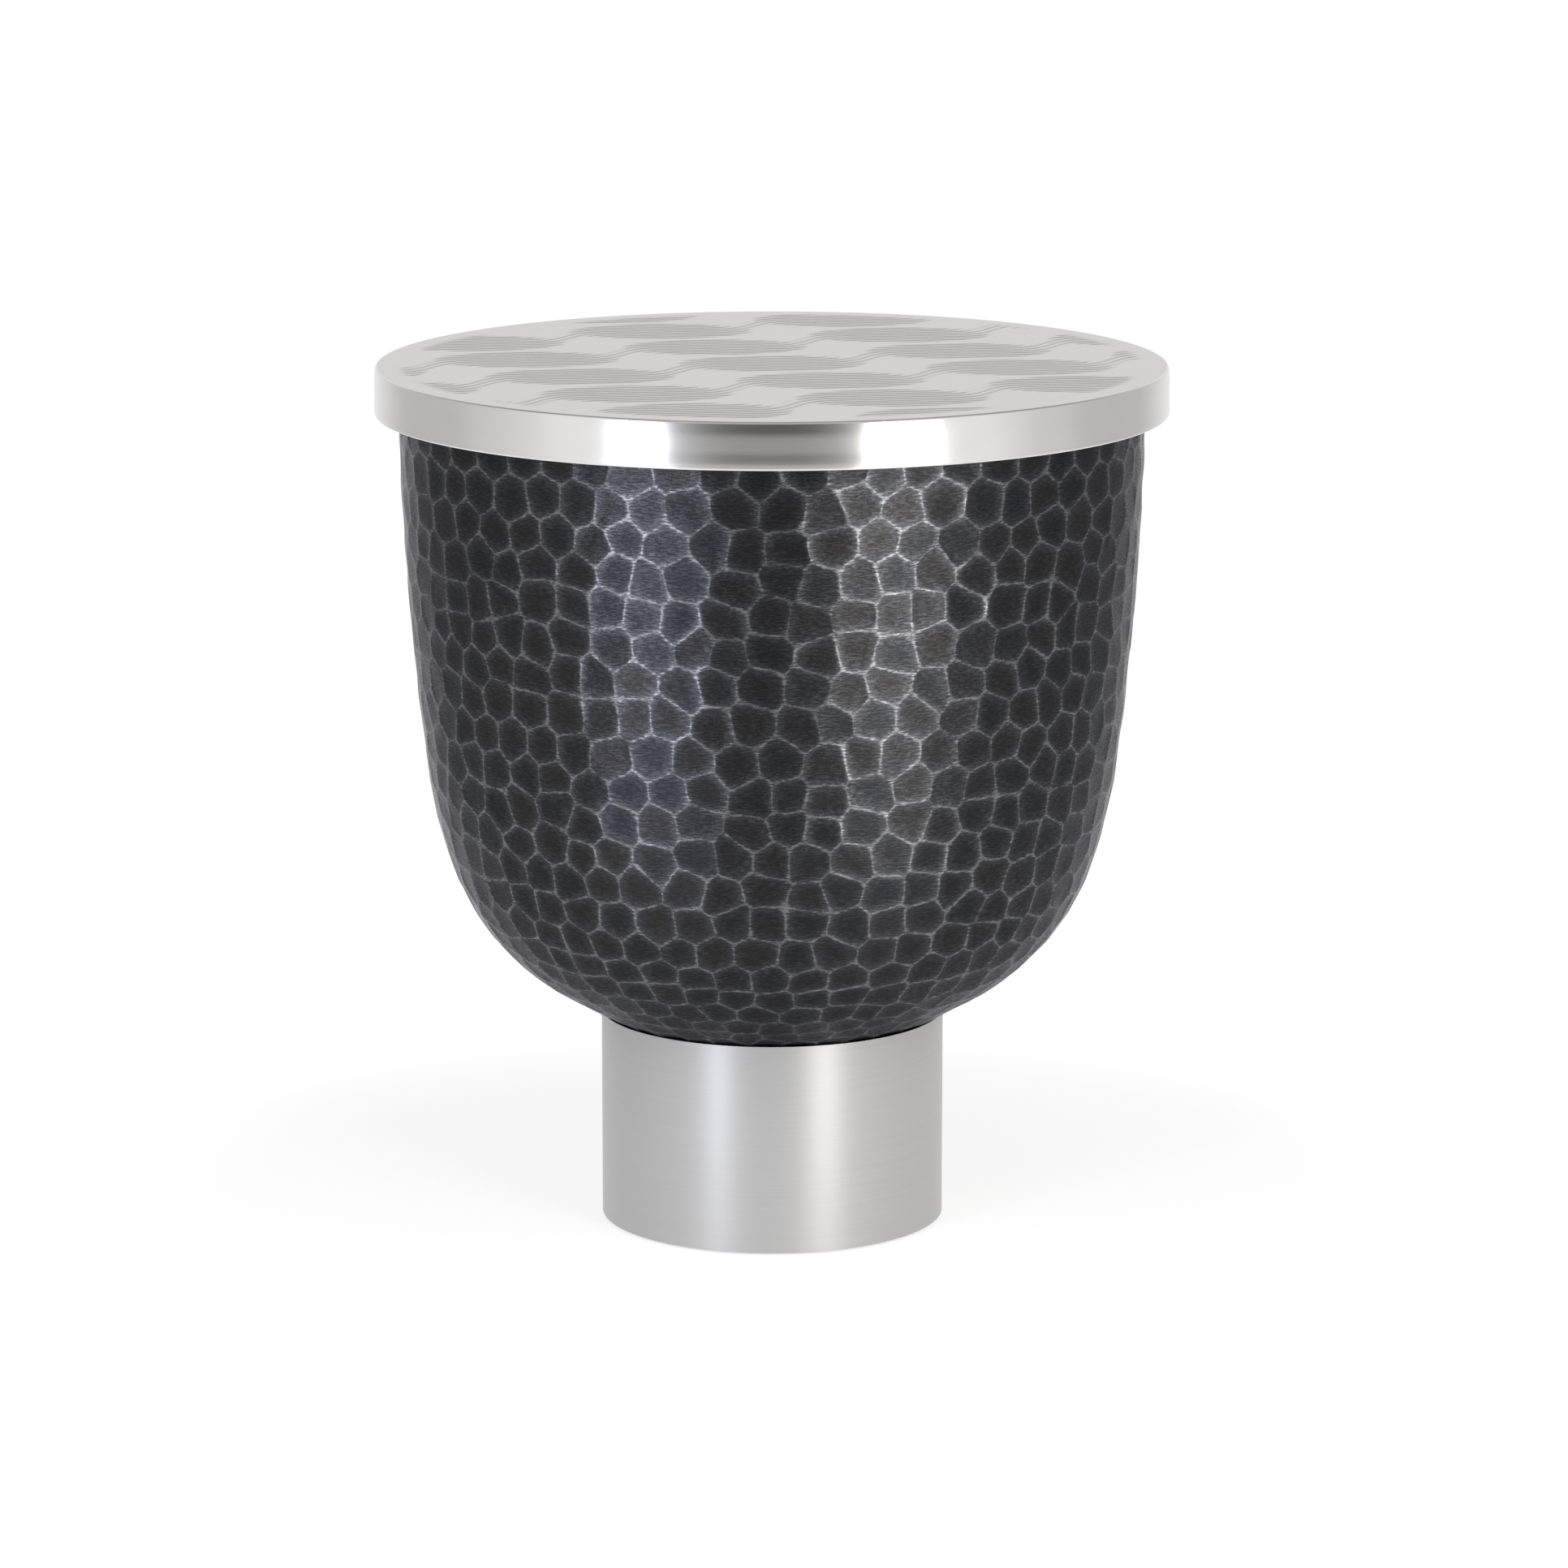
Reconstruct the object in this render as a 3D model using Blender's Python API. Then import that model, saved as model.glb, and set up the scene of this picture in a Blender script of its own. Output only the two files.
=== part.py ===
"""A lidded side table: a hammered metal bowl bolted to a short brushed foot, under a lift-off lid.

Units are metres, +Z is up, and the origin is on the floor at the centre of the foot.
"""

import math
import random

import bmesh
import bpy
import numpy as np
from mathutils import Vector, noise
from mathutils.geometry import delaunay_2d_cdt

# The whole table
TABLE_HEIGHT = 0.4955
SEAT_GAP = 0.0003           # left between pieces that touch
TURN_STEPS = 60             # facets round the pieces that show
INNER_TURN_STEPS = 36       # facets round the pieces inside
SMALL_TURN_STEPS = 12       # facets round a fastener, two to each side of a hexagon
BEND_STEPS = 3              # facets across a bend in the sheet
SHARP_ANGLE = math.radians(30.0)    # edges that turn by more than this are shaded sharp
SLIVER = 0.0001             # edges shorter than this, left by a cut, are closed up

# Lid: a spun cap over a stiffening board, sitting on a felt ring
LID_RADIUS = 0.225
LID_DEPTH = 0.0265
LID_SHEET = 0.0015
LID_EDGE_RADIUS = 0.003
HEM_HEIGHT = 0.006
HEM_THICKNESS = 0.0033
HEM_CHAMFER = 0.0006
BOARD_THICKNESS = 0.012
BOARD_PLAY = 0.0025
BOARD_CHAMFER = 0.0012
FELT_THICKNESS = 0.002
FELT_WIDTH = 0.006

# Bowl: a hammered shell with an outward flange that hides under the lid's skirt
RIM_PLAY = 0.0022
FLANGE_WIDTH = 0.0075
FLANGE_BEND = 0.002
BOWL_SHEET = 0.002
WALL_LEAN = math.radians(0.9)
WALL_TURN = math.radians(5.9)
BELLY_RADIUS = 0.316
BELLY_TURN = math.radians(11.8)
CORNER_RADIUS = 0.131
CORNER_TURN = math.radians(41.7)
FLOOR_BEND_RADIUS = 0.060
CONE_OVERLAP = 0.004        # how far the straight cone runs on inside the sleeve
HAMMER_PITCH_RIM = 0.0232   # from blow to blow at the rim
HAMMER_PITCH_FOOT = 0.0188  # and down at the foot, where the smaller hammer was used
HAMMER_SCATTER = 0.42       # share of the pitch over which a blow strays
HAMMER_DEPTH = 0.0005       # of a mark's middle below the ridges round it
HAMMER_UNEVEN = 0.0012      # how far the ridges wander in from the true wall
HAMMER_SEED = 11
RIDGE_WELD = 0.0018         # ridges shorter than this close up
MARK_ARC_STEPS = (12, 12, 24)   # steps along wall, belly and corner that the marks are laid on
INSIDE_ARC_STEPS = (2, 2, 4)    # and the coarser ones of the plain inside

# Foot: a tube with a plate welded in each end and a weight between them
FOOT_RADIUS = 0.0985
FOOT_HEIGHT = 0.1215
FOOT_WALL = 0.002
FOOT_EDGE_CHAMFER = 0.0004
FOOT_EDGE_LIFT = 0.001
TOP_PLATE_THICKNESS = 0.005
FOOT_PLATE_THICKNESS = 0.004
PAD_THICKNESS = 0.003
PAD_MARGIN = 0.002
BALLAST_CLEARANCE = 0.004
BALLAST_CHAMFER = 0.004

# Bolted joint between the bowl and the foot
CLAMP_THICKNESS = 0.004
CLAMP_MARGIN = 0.003
CLAMP_CHAMFER = 0.001
BOLT_COUNT = 4
BOLT_EDGE_DISTANCE = 0.014
BOLT_RADIUS = 0.004
BOLT_PLAY = 0.0005
BOLT_HEAD_FLATS = 0.013
BOLT_HEAD_HEIGHT = 0.0053
BOLT_TIP_CHAMFER = 0.0008
BOLT_TIP_STANDOUT = 0.003
WASHER_RADIUS = 0.008
WASHER_THICKNESS = 0.0016
NUT_FLATS = 0.013
NUT_HEIGHT = 0.0065

# Radii that follow from the sizes above
HEM_INNER_RADIUS = LID_RADIUS - HEM_THICKNESS
BOARD_RADIUS = LID_RADIUS - LID_SHEET - BOARD_PLAY
FLANGE_RADIUS = HEM_INNER_RADIUS - RIM_PLAY
BOWL_RIM_RADIUS = FLANGE_RADIUS - FLANGE_WIDTH
FOOT_INNER_RADIUS = FOOT_RADIUS - FOOT_WALL
CONE_LEAN = WALL_LEAN + WALL_TURN + BELLY_TURN + CORNER_TURN
CONE_END_RADIUS = FOOT_INNER_RADIUS - CONE_OVERLAP
FLOOR_RADIUS = CONE_END_RADIUS - FLOOR_BEND_RADIUS * math.cos(CONE_LEAN)
CLAMP_RADIUS = FLOOR_RADIUS - CLAMP_MARGIN
BOLT_CIRCLE_RADIUS = CLAMP_RADIUS - BOLT_EDGE_DISTANCE
BOLT_HOLE_RADIUS = BOLT_RADIUS + BOLT_PLAY

# Heights that follow from the sizes above, the lid's downwards and the foot's upwards
BOARD_TOP = TABLE_HEIGHT - LID_SHEET - SEAT_GAP
FELT_TOP = BOARD_TOP - BOARD_THICKNESS - SEAT_GAP
LID_SEAT = FELT_TOP - FELT_THICKNESS
RIM_TOP = LID_SEAT - SEAT_GAP
WALL_TOP = RIM_TOP - BOWL_SHEET - FLANGE_BEND
CONE_AT_FOOT = FOOT_HEIGHT + SEAT_GAP / math.sin(CONE_LEAN)
CONE_END = CONE_AT_FOOT - (FOOT_WALL + CONE_OVERLAP) / math.tan(CONE_LEAN)
FLOOR_UNDERSIDE = CONE_END - FLOOR_BEND_RADIUS * (1.0 - math.sin(CONE_LEAN))
TOP_PLATE_TOP = FLOOR_UNDERSIDE - SEAT_GAP
TOP_PLATE_UNDERSIDE = TOP_PLATE_TOP - TOP_PLATE_THICKNESS
NUT_TOP = TOP_PLATE_UNDERSIDE - SEAT_GAP
BOLT_TIP = NUT_TOP - NUT_HEIGHT - BOLT_TIP_STANDOUT
CLAMP_UNDERSIDE = FLOOR_UNDERSIDE + BOWL_SHEET + SEAT_GAP
WASHER_UNDERSIDE = CLAMP_UNDERSIDE + CLAMP_THICKNESS + SEAT_GAP
BOLT_SEAT = WASHER_UNDERSIDE + WASHER_THICKNESS + SEAT_GAP
FOOT_PLATE_UNDERSIDE = PAD_THICKNESS + SEAT_GAP
BALLAST_UNDERSIDE = FOOT_PLATE_UNDERSIDE + FOOT_PLATE_THICKNESS + SEAT_GAP
BALLAST_TOP = BOLT_TIP - BALLAST_CLEARANCE


def finish(name, colour, roughness, metallic):
    """A plain Principled material."""
    material = bpy.data.materials.new(name)
    material.use_nodes = True
    shader = material.node_tree.nodes["Principled BSDF"]
    shader.inputs["Base Color"].default_value = (*colour, 1.0)
    shader.inputs["Roughness"].default_value = roughness
    shader.inputs["Metallic"].default_value = metallic
    return material


def shaded_mesh(name, bm, material, ridges=()):
    """A mesh of a bmesh, smooth but for its sharp edges and any ridges that are named."""
    mesh = bpy.data.meshes.new(name)
    bm.edges.index_update()
    ridge_numbers = [edge.index for edge in ridges]
    bm.to_mesh(mesh)
    bm.free()
    mesh.shade_smooth()
    mesh.set_sharp_from_angle(angle=SHARP_ANGLE)
    for number in ridge_numbers:
        mesh.edges[number].use_edge_sharp = True
    mesh.materials.append(material)
    return mesh


def place(name, mesh, parent, location=(0.0, 0.0, 0.0)):
    """Place a mesh, which like pieces may share, under the empty that carries it."""
    piece = bpy.data.objects.new(name, mesh)
    bpy.context.scene.collection.objects.link(piece)
    piece.parent = parent
    piece.location = location
    return piece


def add_object(name, bm, material, parent, ridges=()):
    """A named piece whose place is in its mesh."""
    return place(name, shaded_mesh(name, bm, material, ridges), parent)


def add_empty(name, height):
    """An empty on the table's axis, which carries a group of pieces."""
    empty = bpy.data.objects.new(name, None)
    bpy.context.scene.collection.objects.link(empty)
    empty.location = (0.0, 0.0, height)
    return empty


def turned(profile, steps=TURN_STEPS):
    """Turn a profile of (radius, height) points about Z; a profile off the axis is a closed ring."""
    bm = bmesh.new()
    points = [bm.verts.new((radius, 0.0, height)) for radius, height in profile]
    edges = [bm.edges.new(pair) for pair in zip(points, points[1:])]
    if profile[0][0] > 0.0:
        edges.append(bm.edges.new((points[-1], points[0])))
    bmesh.ops.spin(bm, geom=points + edges, cent=(0.0, 0.0, 0.0), axis=(0.0, 0.0, 1.0),
                   dvec=(0.0, 0.0, 0.0), angle=math.tau, steps=steps, use_merge=True)
    bmesh.ops.remove_doubles(bm, verts=bm.verts, dist=1e-6)
    bmesh.ops.recalc_face_normals(bm, faces=bm.faces)
    return bm


def disc_profile(radius, bottom, top, chamfer=0.0):
    """The profile of a plain disc, with chamfered edges where asked."""
    if chamfer == 0.0:
        return [(0.0, top), (radius, top), (radius, bottom), (0.0, bottom)]
    return [(0.0, top), (radius - chamfer, top), (radius, top - chamfer),
            (radius, bottom + chamfer), (radius - chamfer, bottom), (0.0, bottom)]


def ring_profile(inner, outer, bottom, top):
    """The profile of a ring with a square section."""
    return [(inner, top), (outer, top), (outer, bottom), (inner, bottom)]


def fillet(centre, radius, start, end, steps=BEND_STEPS):
    """Points round an arc in the profile plane, with angles measured from the radius axis."""
    points = []
    for step in range(steps + 1):
        angle = start + (end - start) * step / steps
        points.append((centre[0] + radius * math.cos(angle), centre[1] + radius * math.sin(angle)))
    return points


def round_loop(radius, height):
    """A small circle of points about the Z axis."""
    angles = [math.tau * step / SMALL_TURN_STEPS for step in range(SMALL_TURN_STEPS)]
    return [(radius * math.cos(angle), radius * math.sin(angle), height) for angle in angles]


def hexagon_loop(flats, height):
    """A hexagon with as many points as a small circle, given by its width across flats."""
    side = math.tau / 6.0
    points = []
    for step in range(SMALL_TURN_STEPS):
        angle = math.tau * step / SMALL_TURN_STEPS
        radius = flats / 2.0 / math.cos(angle % side - side / 2.0)
        points.append((radius * math.cos(angle), radius * math.sin(angle), height))
    return points


def lofted(loops, closed=False):
    """Join a stack of loops of points by their sides, back to the first loop or with capped ends."""
    bm = bmesh.new()
    rings = [[bm.verts.new(point) for point in loop] for loop in loops]
    pairs = list(zip(rings, rings[1:]))
    if closed:
        pairs.append((rings[-1], rings[0]))
    else:
        bm.faces.new(rings[0])
        bm.faces.new(rings[-1])
    for upper, lower in pairs:
        for here in range(len(upper)):
            bm.faces.new((upper[here - 1], upper[here], lower[here], lower[here - 1]))
    bmesh.ops.recalc_face_normals(bm, faces=bm.faces)
    return bm


def bolt_places():
    """Points on the bolt circle, on the floor plane."""
    for number in range(BOLT_COUNT):
        angle = math.tau * (number + 0.5) / BOLT_COUNT
        yield number + 1, Vector((math.cos(angle), math.sin(angle), 0.0)) * BOLT_CIRCLE_RADIUS


def cut(piece, cutter):
    """Cut a piece with a hidden guide object."""
    modifier = piece.modifiers.new("cut", "BOOLEAN")
    modifier.operation = "DIFFERENCE"
    modifier.solver = "EXACT"
    modifier.object = cutter
    weld = piece.modifiers.new("close_slivers", "WELD")
    weld.merge_threshold = SLIVER


def add_bolt_drill(parent):
    """One guide object with a cylinder for every bolt hole."""
    bm = bmesh.new()
    bottom = TOP_PLATE_UNDERSIDE - TOP_PLATE_THICKNESS
    top = CLAMP_UNDERSIDE + 2.0 * CLAMP_THICKNESS
    for _, spot in bolt_places():
        made = bmesh.ops.create_cone(bm, cap_ends=True, segments=SMALL_TURN_STEPS,
                                     radius1=BOLT_HOLE_RADIUS, radius2=BOLT_HOLE_RADIUS,
                                     depth=top - bottom)
        lift = Vector((0.0, 0.0, (top + bottom) / 2.0))
        bmesh.ops.translate(bm, verts=made["verts"], vec=spot + lift)
    drill = add_object("bolt_drill", bm, finish("guide", (0.5, 0.5, 0.5), 0.5, 0.0), parent)
    drill.hide_render = True
    drill.display_type = "WIRE"
    return drill


def wall_arcs():
    """The bowl's outer wall as tangent arcs from the rim down, each (radius, turn), and its cone's length.

    The long wall's radius and the cone's length follow from the bowl's height and width.
    """
    lean_1 = WALL_LEAN + WALL_TURN
    lean_2 = lean_1 + BELLY_TURN
    drop = WALL_TOP - FLOOR_UNDERSIDE
    drop -= BELLY_RADIUS * (math.sin(lean_2) - math.sin(lean_1))
    drop -= CORNER_RADIUS * (math.sin(CONE_LEAN) - math.sin(lean_2))
    drop -= FLOOR_BEND_RADIUS * (1.0 - math.sin(CONE_LEAN))
    inset = BOWL_RIM_RADIUS - FLOOR_RADIUS
    inset -= BELLY_RADIUS * (math.cos(lean_1) - math.cos(lean_2))
    inset -= CORNER_RADIUS * (math.cos(lean_2) - math.cos(CONE_LEAN))
    inset -= FLOOR_BEND_RADIUS * math.cos(CONE_LEAN)
    wall_drop = math.sin(lean_1) - math.sin(WALL_LEAN)
    wall_inset = math.cos(WALL_LEAN) - math.cos(lean_1)
    spread = wall_drop * math.sin(CONE_LEAN) - wall_inset * math.cos(CONE_LEAN)
    wall_radius = (drop * math.sin(CONE_LEAN) - inset * math.cos(CONE_LEAN)) / spread
    cone_length = (inset - wall_radius * wall_inset) / math.sin(CONE_LEAN)
    arcs = [(wall_radius, WALL_TURN), (BELLY_RADIUS, BELLY_TURN), (CORNER_RADIUS, CORNER_TURN)]
    return arcs, cone_length


def bowl_wall(arc_steps):
    """Points down the bowl's outside as (radius, height, lean), where lean is the angle from upright."""
    arcs, cone_length = wall_arcs()
    radius, height, lean = BOWL_RIM_RADIUS, WALL_TOP, WALL_LEAN
    points = [(radius, height, lean)]
    for (arc_radius, turn), steps in zip(arcs, arc_steps):
        for _ in range(steps):
            after = lean + turn / steps
            radius -= arc_radius * (math.cos(lean) - math.cos(after))
            height -= arc_radius * (math.sin(after) - math.sin(lean))
            lean = after
            points.append((radius, height, lean))
    radius -= cone_length * math.sin(lean)
    height -= cone_length * math.cos(lean)
    points.append((radius, height, lean))
    return points


def floor_bend():
    """Points on round the hidden bend from the cone to the flat floor, like those of the wall."""
    points = []
    for step in range(1, BEND_STEPS + 1):
        lean = CONE_LEAN + (math.pi / 2.0 - CONE_LEAN) * step / BEND_STEPS
        radius = FLOOR_RADIUS + FLOOR_BEND_RADIUS * math.cos(lean)
        height = FLOOR_UNDERSIDE + FLOOR_BEND_RADIUS * (1.0 - math.sin(lean))
        points.append((radius, height, lean))
    return points


class HammeredWall:
    """The bowl's outer wall laid out flat, so that round marks stay round.

    A point is (turn, depth): the angle about the axis, and the way down the wall in radii.
    """

    def __init__(self):
        radius, height, self.lean = np.array(bowl_wall(MARK_ARC_STEPS)).T
        step = np.hypot(np.diff(radius), np.diff(height))
        self.way = np.concatenate(([0.0], np.cumsum(step)))
        middle = (radius[1:] + radius[:-1]) / 2.0
        self.depth = np.concatenate(([0.0], np.cumsum(step / middle)))
        self.radius = radius
        self.height = height

    def point(self, turn, depth, dent=0.0):
        """The point in space, moved into the bowl by a dent."""
        lean = np.interp(depth, self.depth, self.lean)
        radius = np.interp(depth, self.depth, self.radius) - dent * math.cos(lean)
        height = np.interp(depth, self.depth, self.height) + dent * math.sin(lean)
        return Vector((radius * math.cos(turn), radius * math.sin(turn), height))

    def unevenness(self, turn, depth):
        """How far in from the true wall the ridges run at a place."""
        return HAMMER_UNEVEN * abs(noise.noise(self.point(turn, depth) / HAMMER_PITCH_FOOT))

    def pitch(self, way):
        """From blow to blow, at a place down the wall."""
        radius = np.interp(way, self.way, self.radius)
        share = (BOWL_RIM_RADIUS - radius) / (BOWL_RIM_RADIUS - FOOT_RADIUS)
        return HAMMER_PITCH_RIM + (HAMMER_PITCH_FOOT - HAMMER_PITCH_RIM) * share

    def blows(self):
        """Rows of hammer blows from the rim down, each blow strayed a little from its place."""
        chance = random.Random(HAMMER_SEED)
        edges = [0.0]
        while edges[-1] < self.way[-1]:
            edges.append(edges[-1] + self.pitch(edges[-1]) * math.sqrt(0.75))
        squeeze = self.way[-1] / edges[-1]
        rows = []
        for upper, lower in zip(edges, edges[1:]):
            way = (upper + lower) / 2.0 * squeeze
            radius = np.interp(way, self.way, self.radius)
            depth = np.interp(way, self.way, self.depth)
            stray = HAMMER_SCATTER * self.pitch(way) / radius
            count = round(math.tau * radius / self.pitch(way))
            start = chance.random()
            row = []
            for number in range(count):
                turn = math.tau * (number + start) / count + stray * (chance.random() - 0.5)
                row.append((turn % math.tau, depth + stray * (chance.random() - 0.5)))
            rows.append(row)
        return rows

    def marks(self):
        """Each blow with the corners of the mark it leaves, where it meets the blows round it."""
        rows = self.blows()
        blows = [blow for row in rows for blow in row]
        end = self.depth[-1]
        above = [(turn, -depth) for row in rows[:2] for turn, depth in row]
        below = [(turn, 2.0 * end - depth) for row in rows[-2:] for turn, depth in row]
        around = blows + above + below
        spread = [Vector((turn + lap, depth)) for lap in (0.0, -math.tau, math.tau)
                  for turn, depth in around]
        _, _, triangles, sources, _, _ = delaunay_2d_cdt(spread, [], [], 0, 1e-9)
        corners = {number: [] for number in range(len(blows))}
        for triangle in triangles:
            ends = [sources[corner][0] for corner in triangle]
            if min(ends) < len(blows):
                centre = circle_centre(*(spread[corner] for corner in ends))
                for corner in ends:
                    if corner in corners:
                        corners[corner].append(centre)
        for number, ring in corners.items():
            middle = spread[number]
            ring.sort(key=lambda corner: math.atan2(corner.y - middle.y, corner.x - middle.x))
            yield middle, ring


def circle_centre(first, second, third):
    """The centre of the circle through three points of the plane."""
    one = second - first
    two = third - first
    cross = 2.0 * (one.x * two.y - one.y * two.x)
    square_one = one.length_squared
    square_two = two.length_squared
    offset = Vector((two.y * square_one - one.y * square_two, one.x * square_two - two.x * square_one))
    return first + offset / cross


def extrude_rings(bm, edges, profile):
    """Extrude a loop of edges from ring to ring of (radius, height) points, then close it on the axis."""
    for radius, height in profile:
        made = bmesh.ops.extrude_edge_only(bm, edges=edges)["geom"]
        edges = [item for item in made if isinstance(item, bmesh.types.BMEdge) and item.is_boundary]
        for vert in {vert for edge in edges for vert in edge.verts}:
            turn = math.atan2(vert.co.y, vert.co.x)
            vert.co = (radius * math.cos(turn), radius * math.sin(turn), height)
    bmesh.ops.holes_fill(bm, edges=edges)


def hammered_bowl():
    """The bowl and its ridges: dented marks outside, a plain inside, and a flange at the rim."""
    wall = HammeredWall()
    bm = bmesh.new()
    crests = []
    for blow, corners in wall.marks():
        dents = [wall.unevenness(corner.x, corner.y) for corner in corners]
        depth = sum(dents) / len(dents) + HAMMER_DEPTH
        middle = bm.verts.new(wall.point(blow.x, blow.y, depth))
        ring = [bm.verts.new(wall.point(corner.x, corner.y, dent))
                for corner, dent in zip(corners, dents)]
        crests += ring
        for here in range(len(ring)):
            bm.faces.new((middle, ring[here - 1], ring[here]))
    bmesh.ops.remove_doubles(bm, verts=crests, dist=RIDGE_WELD)
    crests = {vert for vert in crests if vert.is_valid}
    ridges = [edge for edge in bm.edges if crests.issuperset(edge.verts)]
    rims = [edge for edge in bm.edges if edge.is_boundary]
    halfway = (WALL_TOP + FLOOR_UNDERSIDE) / 2.0
    upper = [edge for edge in rims if edge.verts[0].co.z > halfway]
    lower = [edge for edge in rims if edge.verts[0].co.z < halfway]
    bend = floor_bend()
    extrude_rings(bm, lower, [(radius, height) for radius, height, _ in bend])
    bend_centre = (BOWL_RIM_RADIUS + FLANGE_BEND, WALL_TOP)
    quarter = math.pi / 2.0
    flange = fillet(bend_centre, FLANGE_BEND, 2.0 * quarter, quarter)[1:]
    flange += [(FLANGE_RADIUS, RIM_TOP - BOWL_SHEET), (FLANGE_RADIUS, RIM_TOP)]
    flange += fillet(bend_centre, FLANGE_BEND + BOWL_SHEET, quarter, 2.0 * quarter)
    inside = []
    for radius, height, lean in bowl_wall(INSIDE_ARC_STEPS)[1:] + bend:
        inside.append((radius - BOWL_SHEET * math.cos(lean), height + BOWL_SHEET * math.sin(lean)))
    extrude_rings(bm, upper, flange + inside)
    bmesh.ops.recalc_face_normals(bm, faces=bm.faces)
    return bm, ridges


def add_lid(parent):
    """The lid's cap, board and felt, in the lid's own frame with its seat at height 0."""
    top = TABLE_HEIGHT - LID_SEAT
    edge = top - LID_DEPTH
    quarter = math.pi / 2.0
    corner = (LID_RADIUS - LID_EDGE_RADIUS, top - LID_EDGE_RADIUS)
    profile = [(0.0, top)]
    profile += fillet(corner, LID_EDGE_RADIUS, quarter, 0.0)
    profile += [(LID_RADIUS, edge + HEM_CHAMFER), (LID_RADIUS - HEM_CHAMFER, edge)]
    profile += [(HEM_INNER_RADIUS + HEM_CHAMFER, edge), (HEM_INNER_RADIUS, edge + HEM_CHAMFER)]
    profile += [(HEM_INNER_RADIUS, edge + HEM_HEIGHT)]
    profile += [(LID_RADIUS - LID_SHEET, edge + HEM_HEIGHT + HEM_THICKNESS - LID_SHEET)]
    profile += fillet(corner, LID_EDGE_RADIUS - LID_SHEET, 0.0, quarter)
    profile += [(0.0, top - LID_SHEET)]
    nickel = finish("polished_nickel", (0.72, 0.71, 0.69), 0.15, 1.0)
    add_object("lid_cap", turned(profile), nickel, parent)
    board_top = BOARD_TOP - LID_SEAT
    board = disc_profile(BOARD_RADIUS, board_top - BOARD_THICKNESS, board_top, BOARD_CHAMFER)
    fibreboard = finish("fibreboard", (0.42, 0.30, 0.19), 0.8, 0.0)
    add_object("lid_board", turned(board, INNER_TURN_STEPS), fibreboard, parent)
    felt = ring_profile(FLANGE_RADIUS - FELT_WIDTH, FLANGE_RADIUS, 0.0, FELT_TOP - LID_SEAT)
    add_object("lid_seat_felt", turned(felt), finish("black_felt", (0.03, 0.03, 0.03), 0.95, 0.0), parent)


def add_bowl(parent, drill):
    """The hammered bowl, with its bolt holes."""
    blackened = finish("blackened_metal", (0.09, 0.09, 0.10), 0.4, 1.0)
    shell, ridges = hammered_bowl()
    cut(add_object("bowl", shell, blackened, parent, ridges), drill)


def add_foot(parent, drill):
    """The sleeve, turned to the bowl's cone on top, its two welded plates, its weight and its pad."""
    brushed = finish("brushed_nickel", (0.62, 0.61, 0.59), 0.35, 1.0)
    steel = finish("bare_steel", (0.45, 0.45, 0.46), 0.45, 1.0)
    chamfer = FOOT_EDGE_CHAMFER
    inner_top = FOOT_HEIGHT - FOOT_WALL / math.tan(CONE_LEAN)
    sleeve = [(FOOT_INNER_RADIUS, inner_top), (FOOT_RADIUS, FOOT_HEIGHT)]
    sleeve += [(FOOT_RADIUS, FOOT_EDGE_LIFT + chamfer), (FOOT_RADIUS - chamfer, FOOT_EDGE_LIFT)]
    sleeve += [(FOOT_INNER_RADIUS, FOOT_EDGE_LIFT)]
    add_object("base_sleeve", turned(sleeve), brushed, parent)
    plate_radius = FOOT_INNER_RADIUS - SEAT_GAP
    plate = disc_profile(plate_radius, TOP_PLATE_UNDERSIDE, TOP_PLATE_TOP)
    cut(add_object("base_top_plate", turned(plate, INNER_TURN_STEPS), steel, parent), drill)
    foot_plate_top = FOOT_PLATE_UNDERSIDE + FOOT_PLATE_THICKNESS
    plate = disc_profile(plate_radius, FOOT_PLATE_UNDERSIDE, foot_plate_top)
    add_object("foot_plate", turned(plate, INNER_TURN_STEPS), steel, parent)
    core = disc_profile(plate_radius, BALLAST_UNDERSIDE, BALLAST_TOP, BALLAST_CHAMFER)
    concrete = finish("concrete", (0.46, 0.45, 0.43), 0.9, 0.0)
    add_object("ballast_core", turned(core, INNER_TURN_STEPS), concrete, parent)
    pad = disc_profile(FOOT_INNER_RADIUS - PAD_MARGIN, 0.0, PAD_THICKNESS)
    felt = finish("grey_felt", (0.10, 0.10, 0.10), 0.95, 0.0)
    add_object("floor_pad", turned(pad, INNER_TURN_STEPS), felt, parent)


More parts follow.
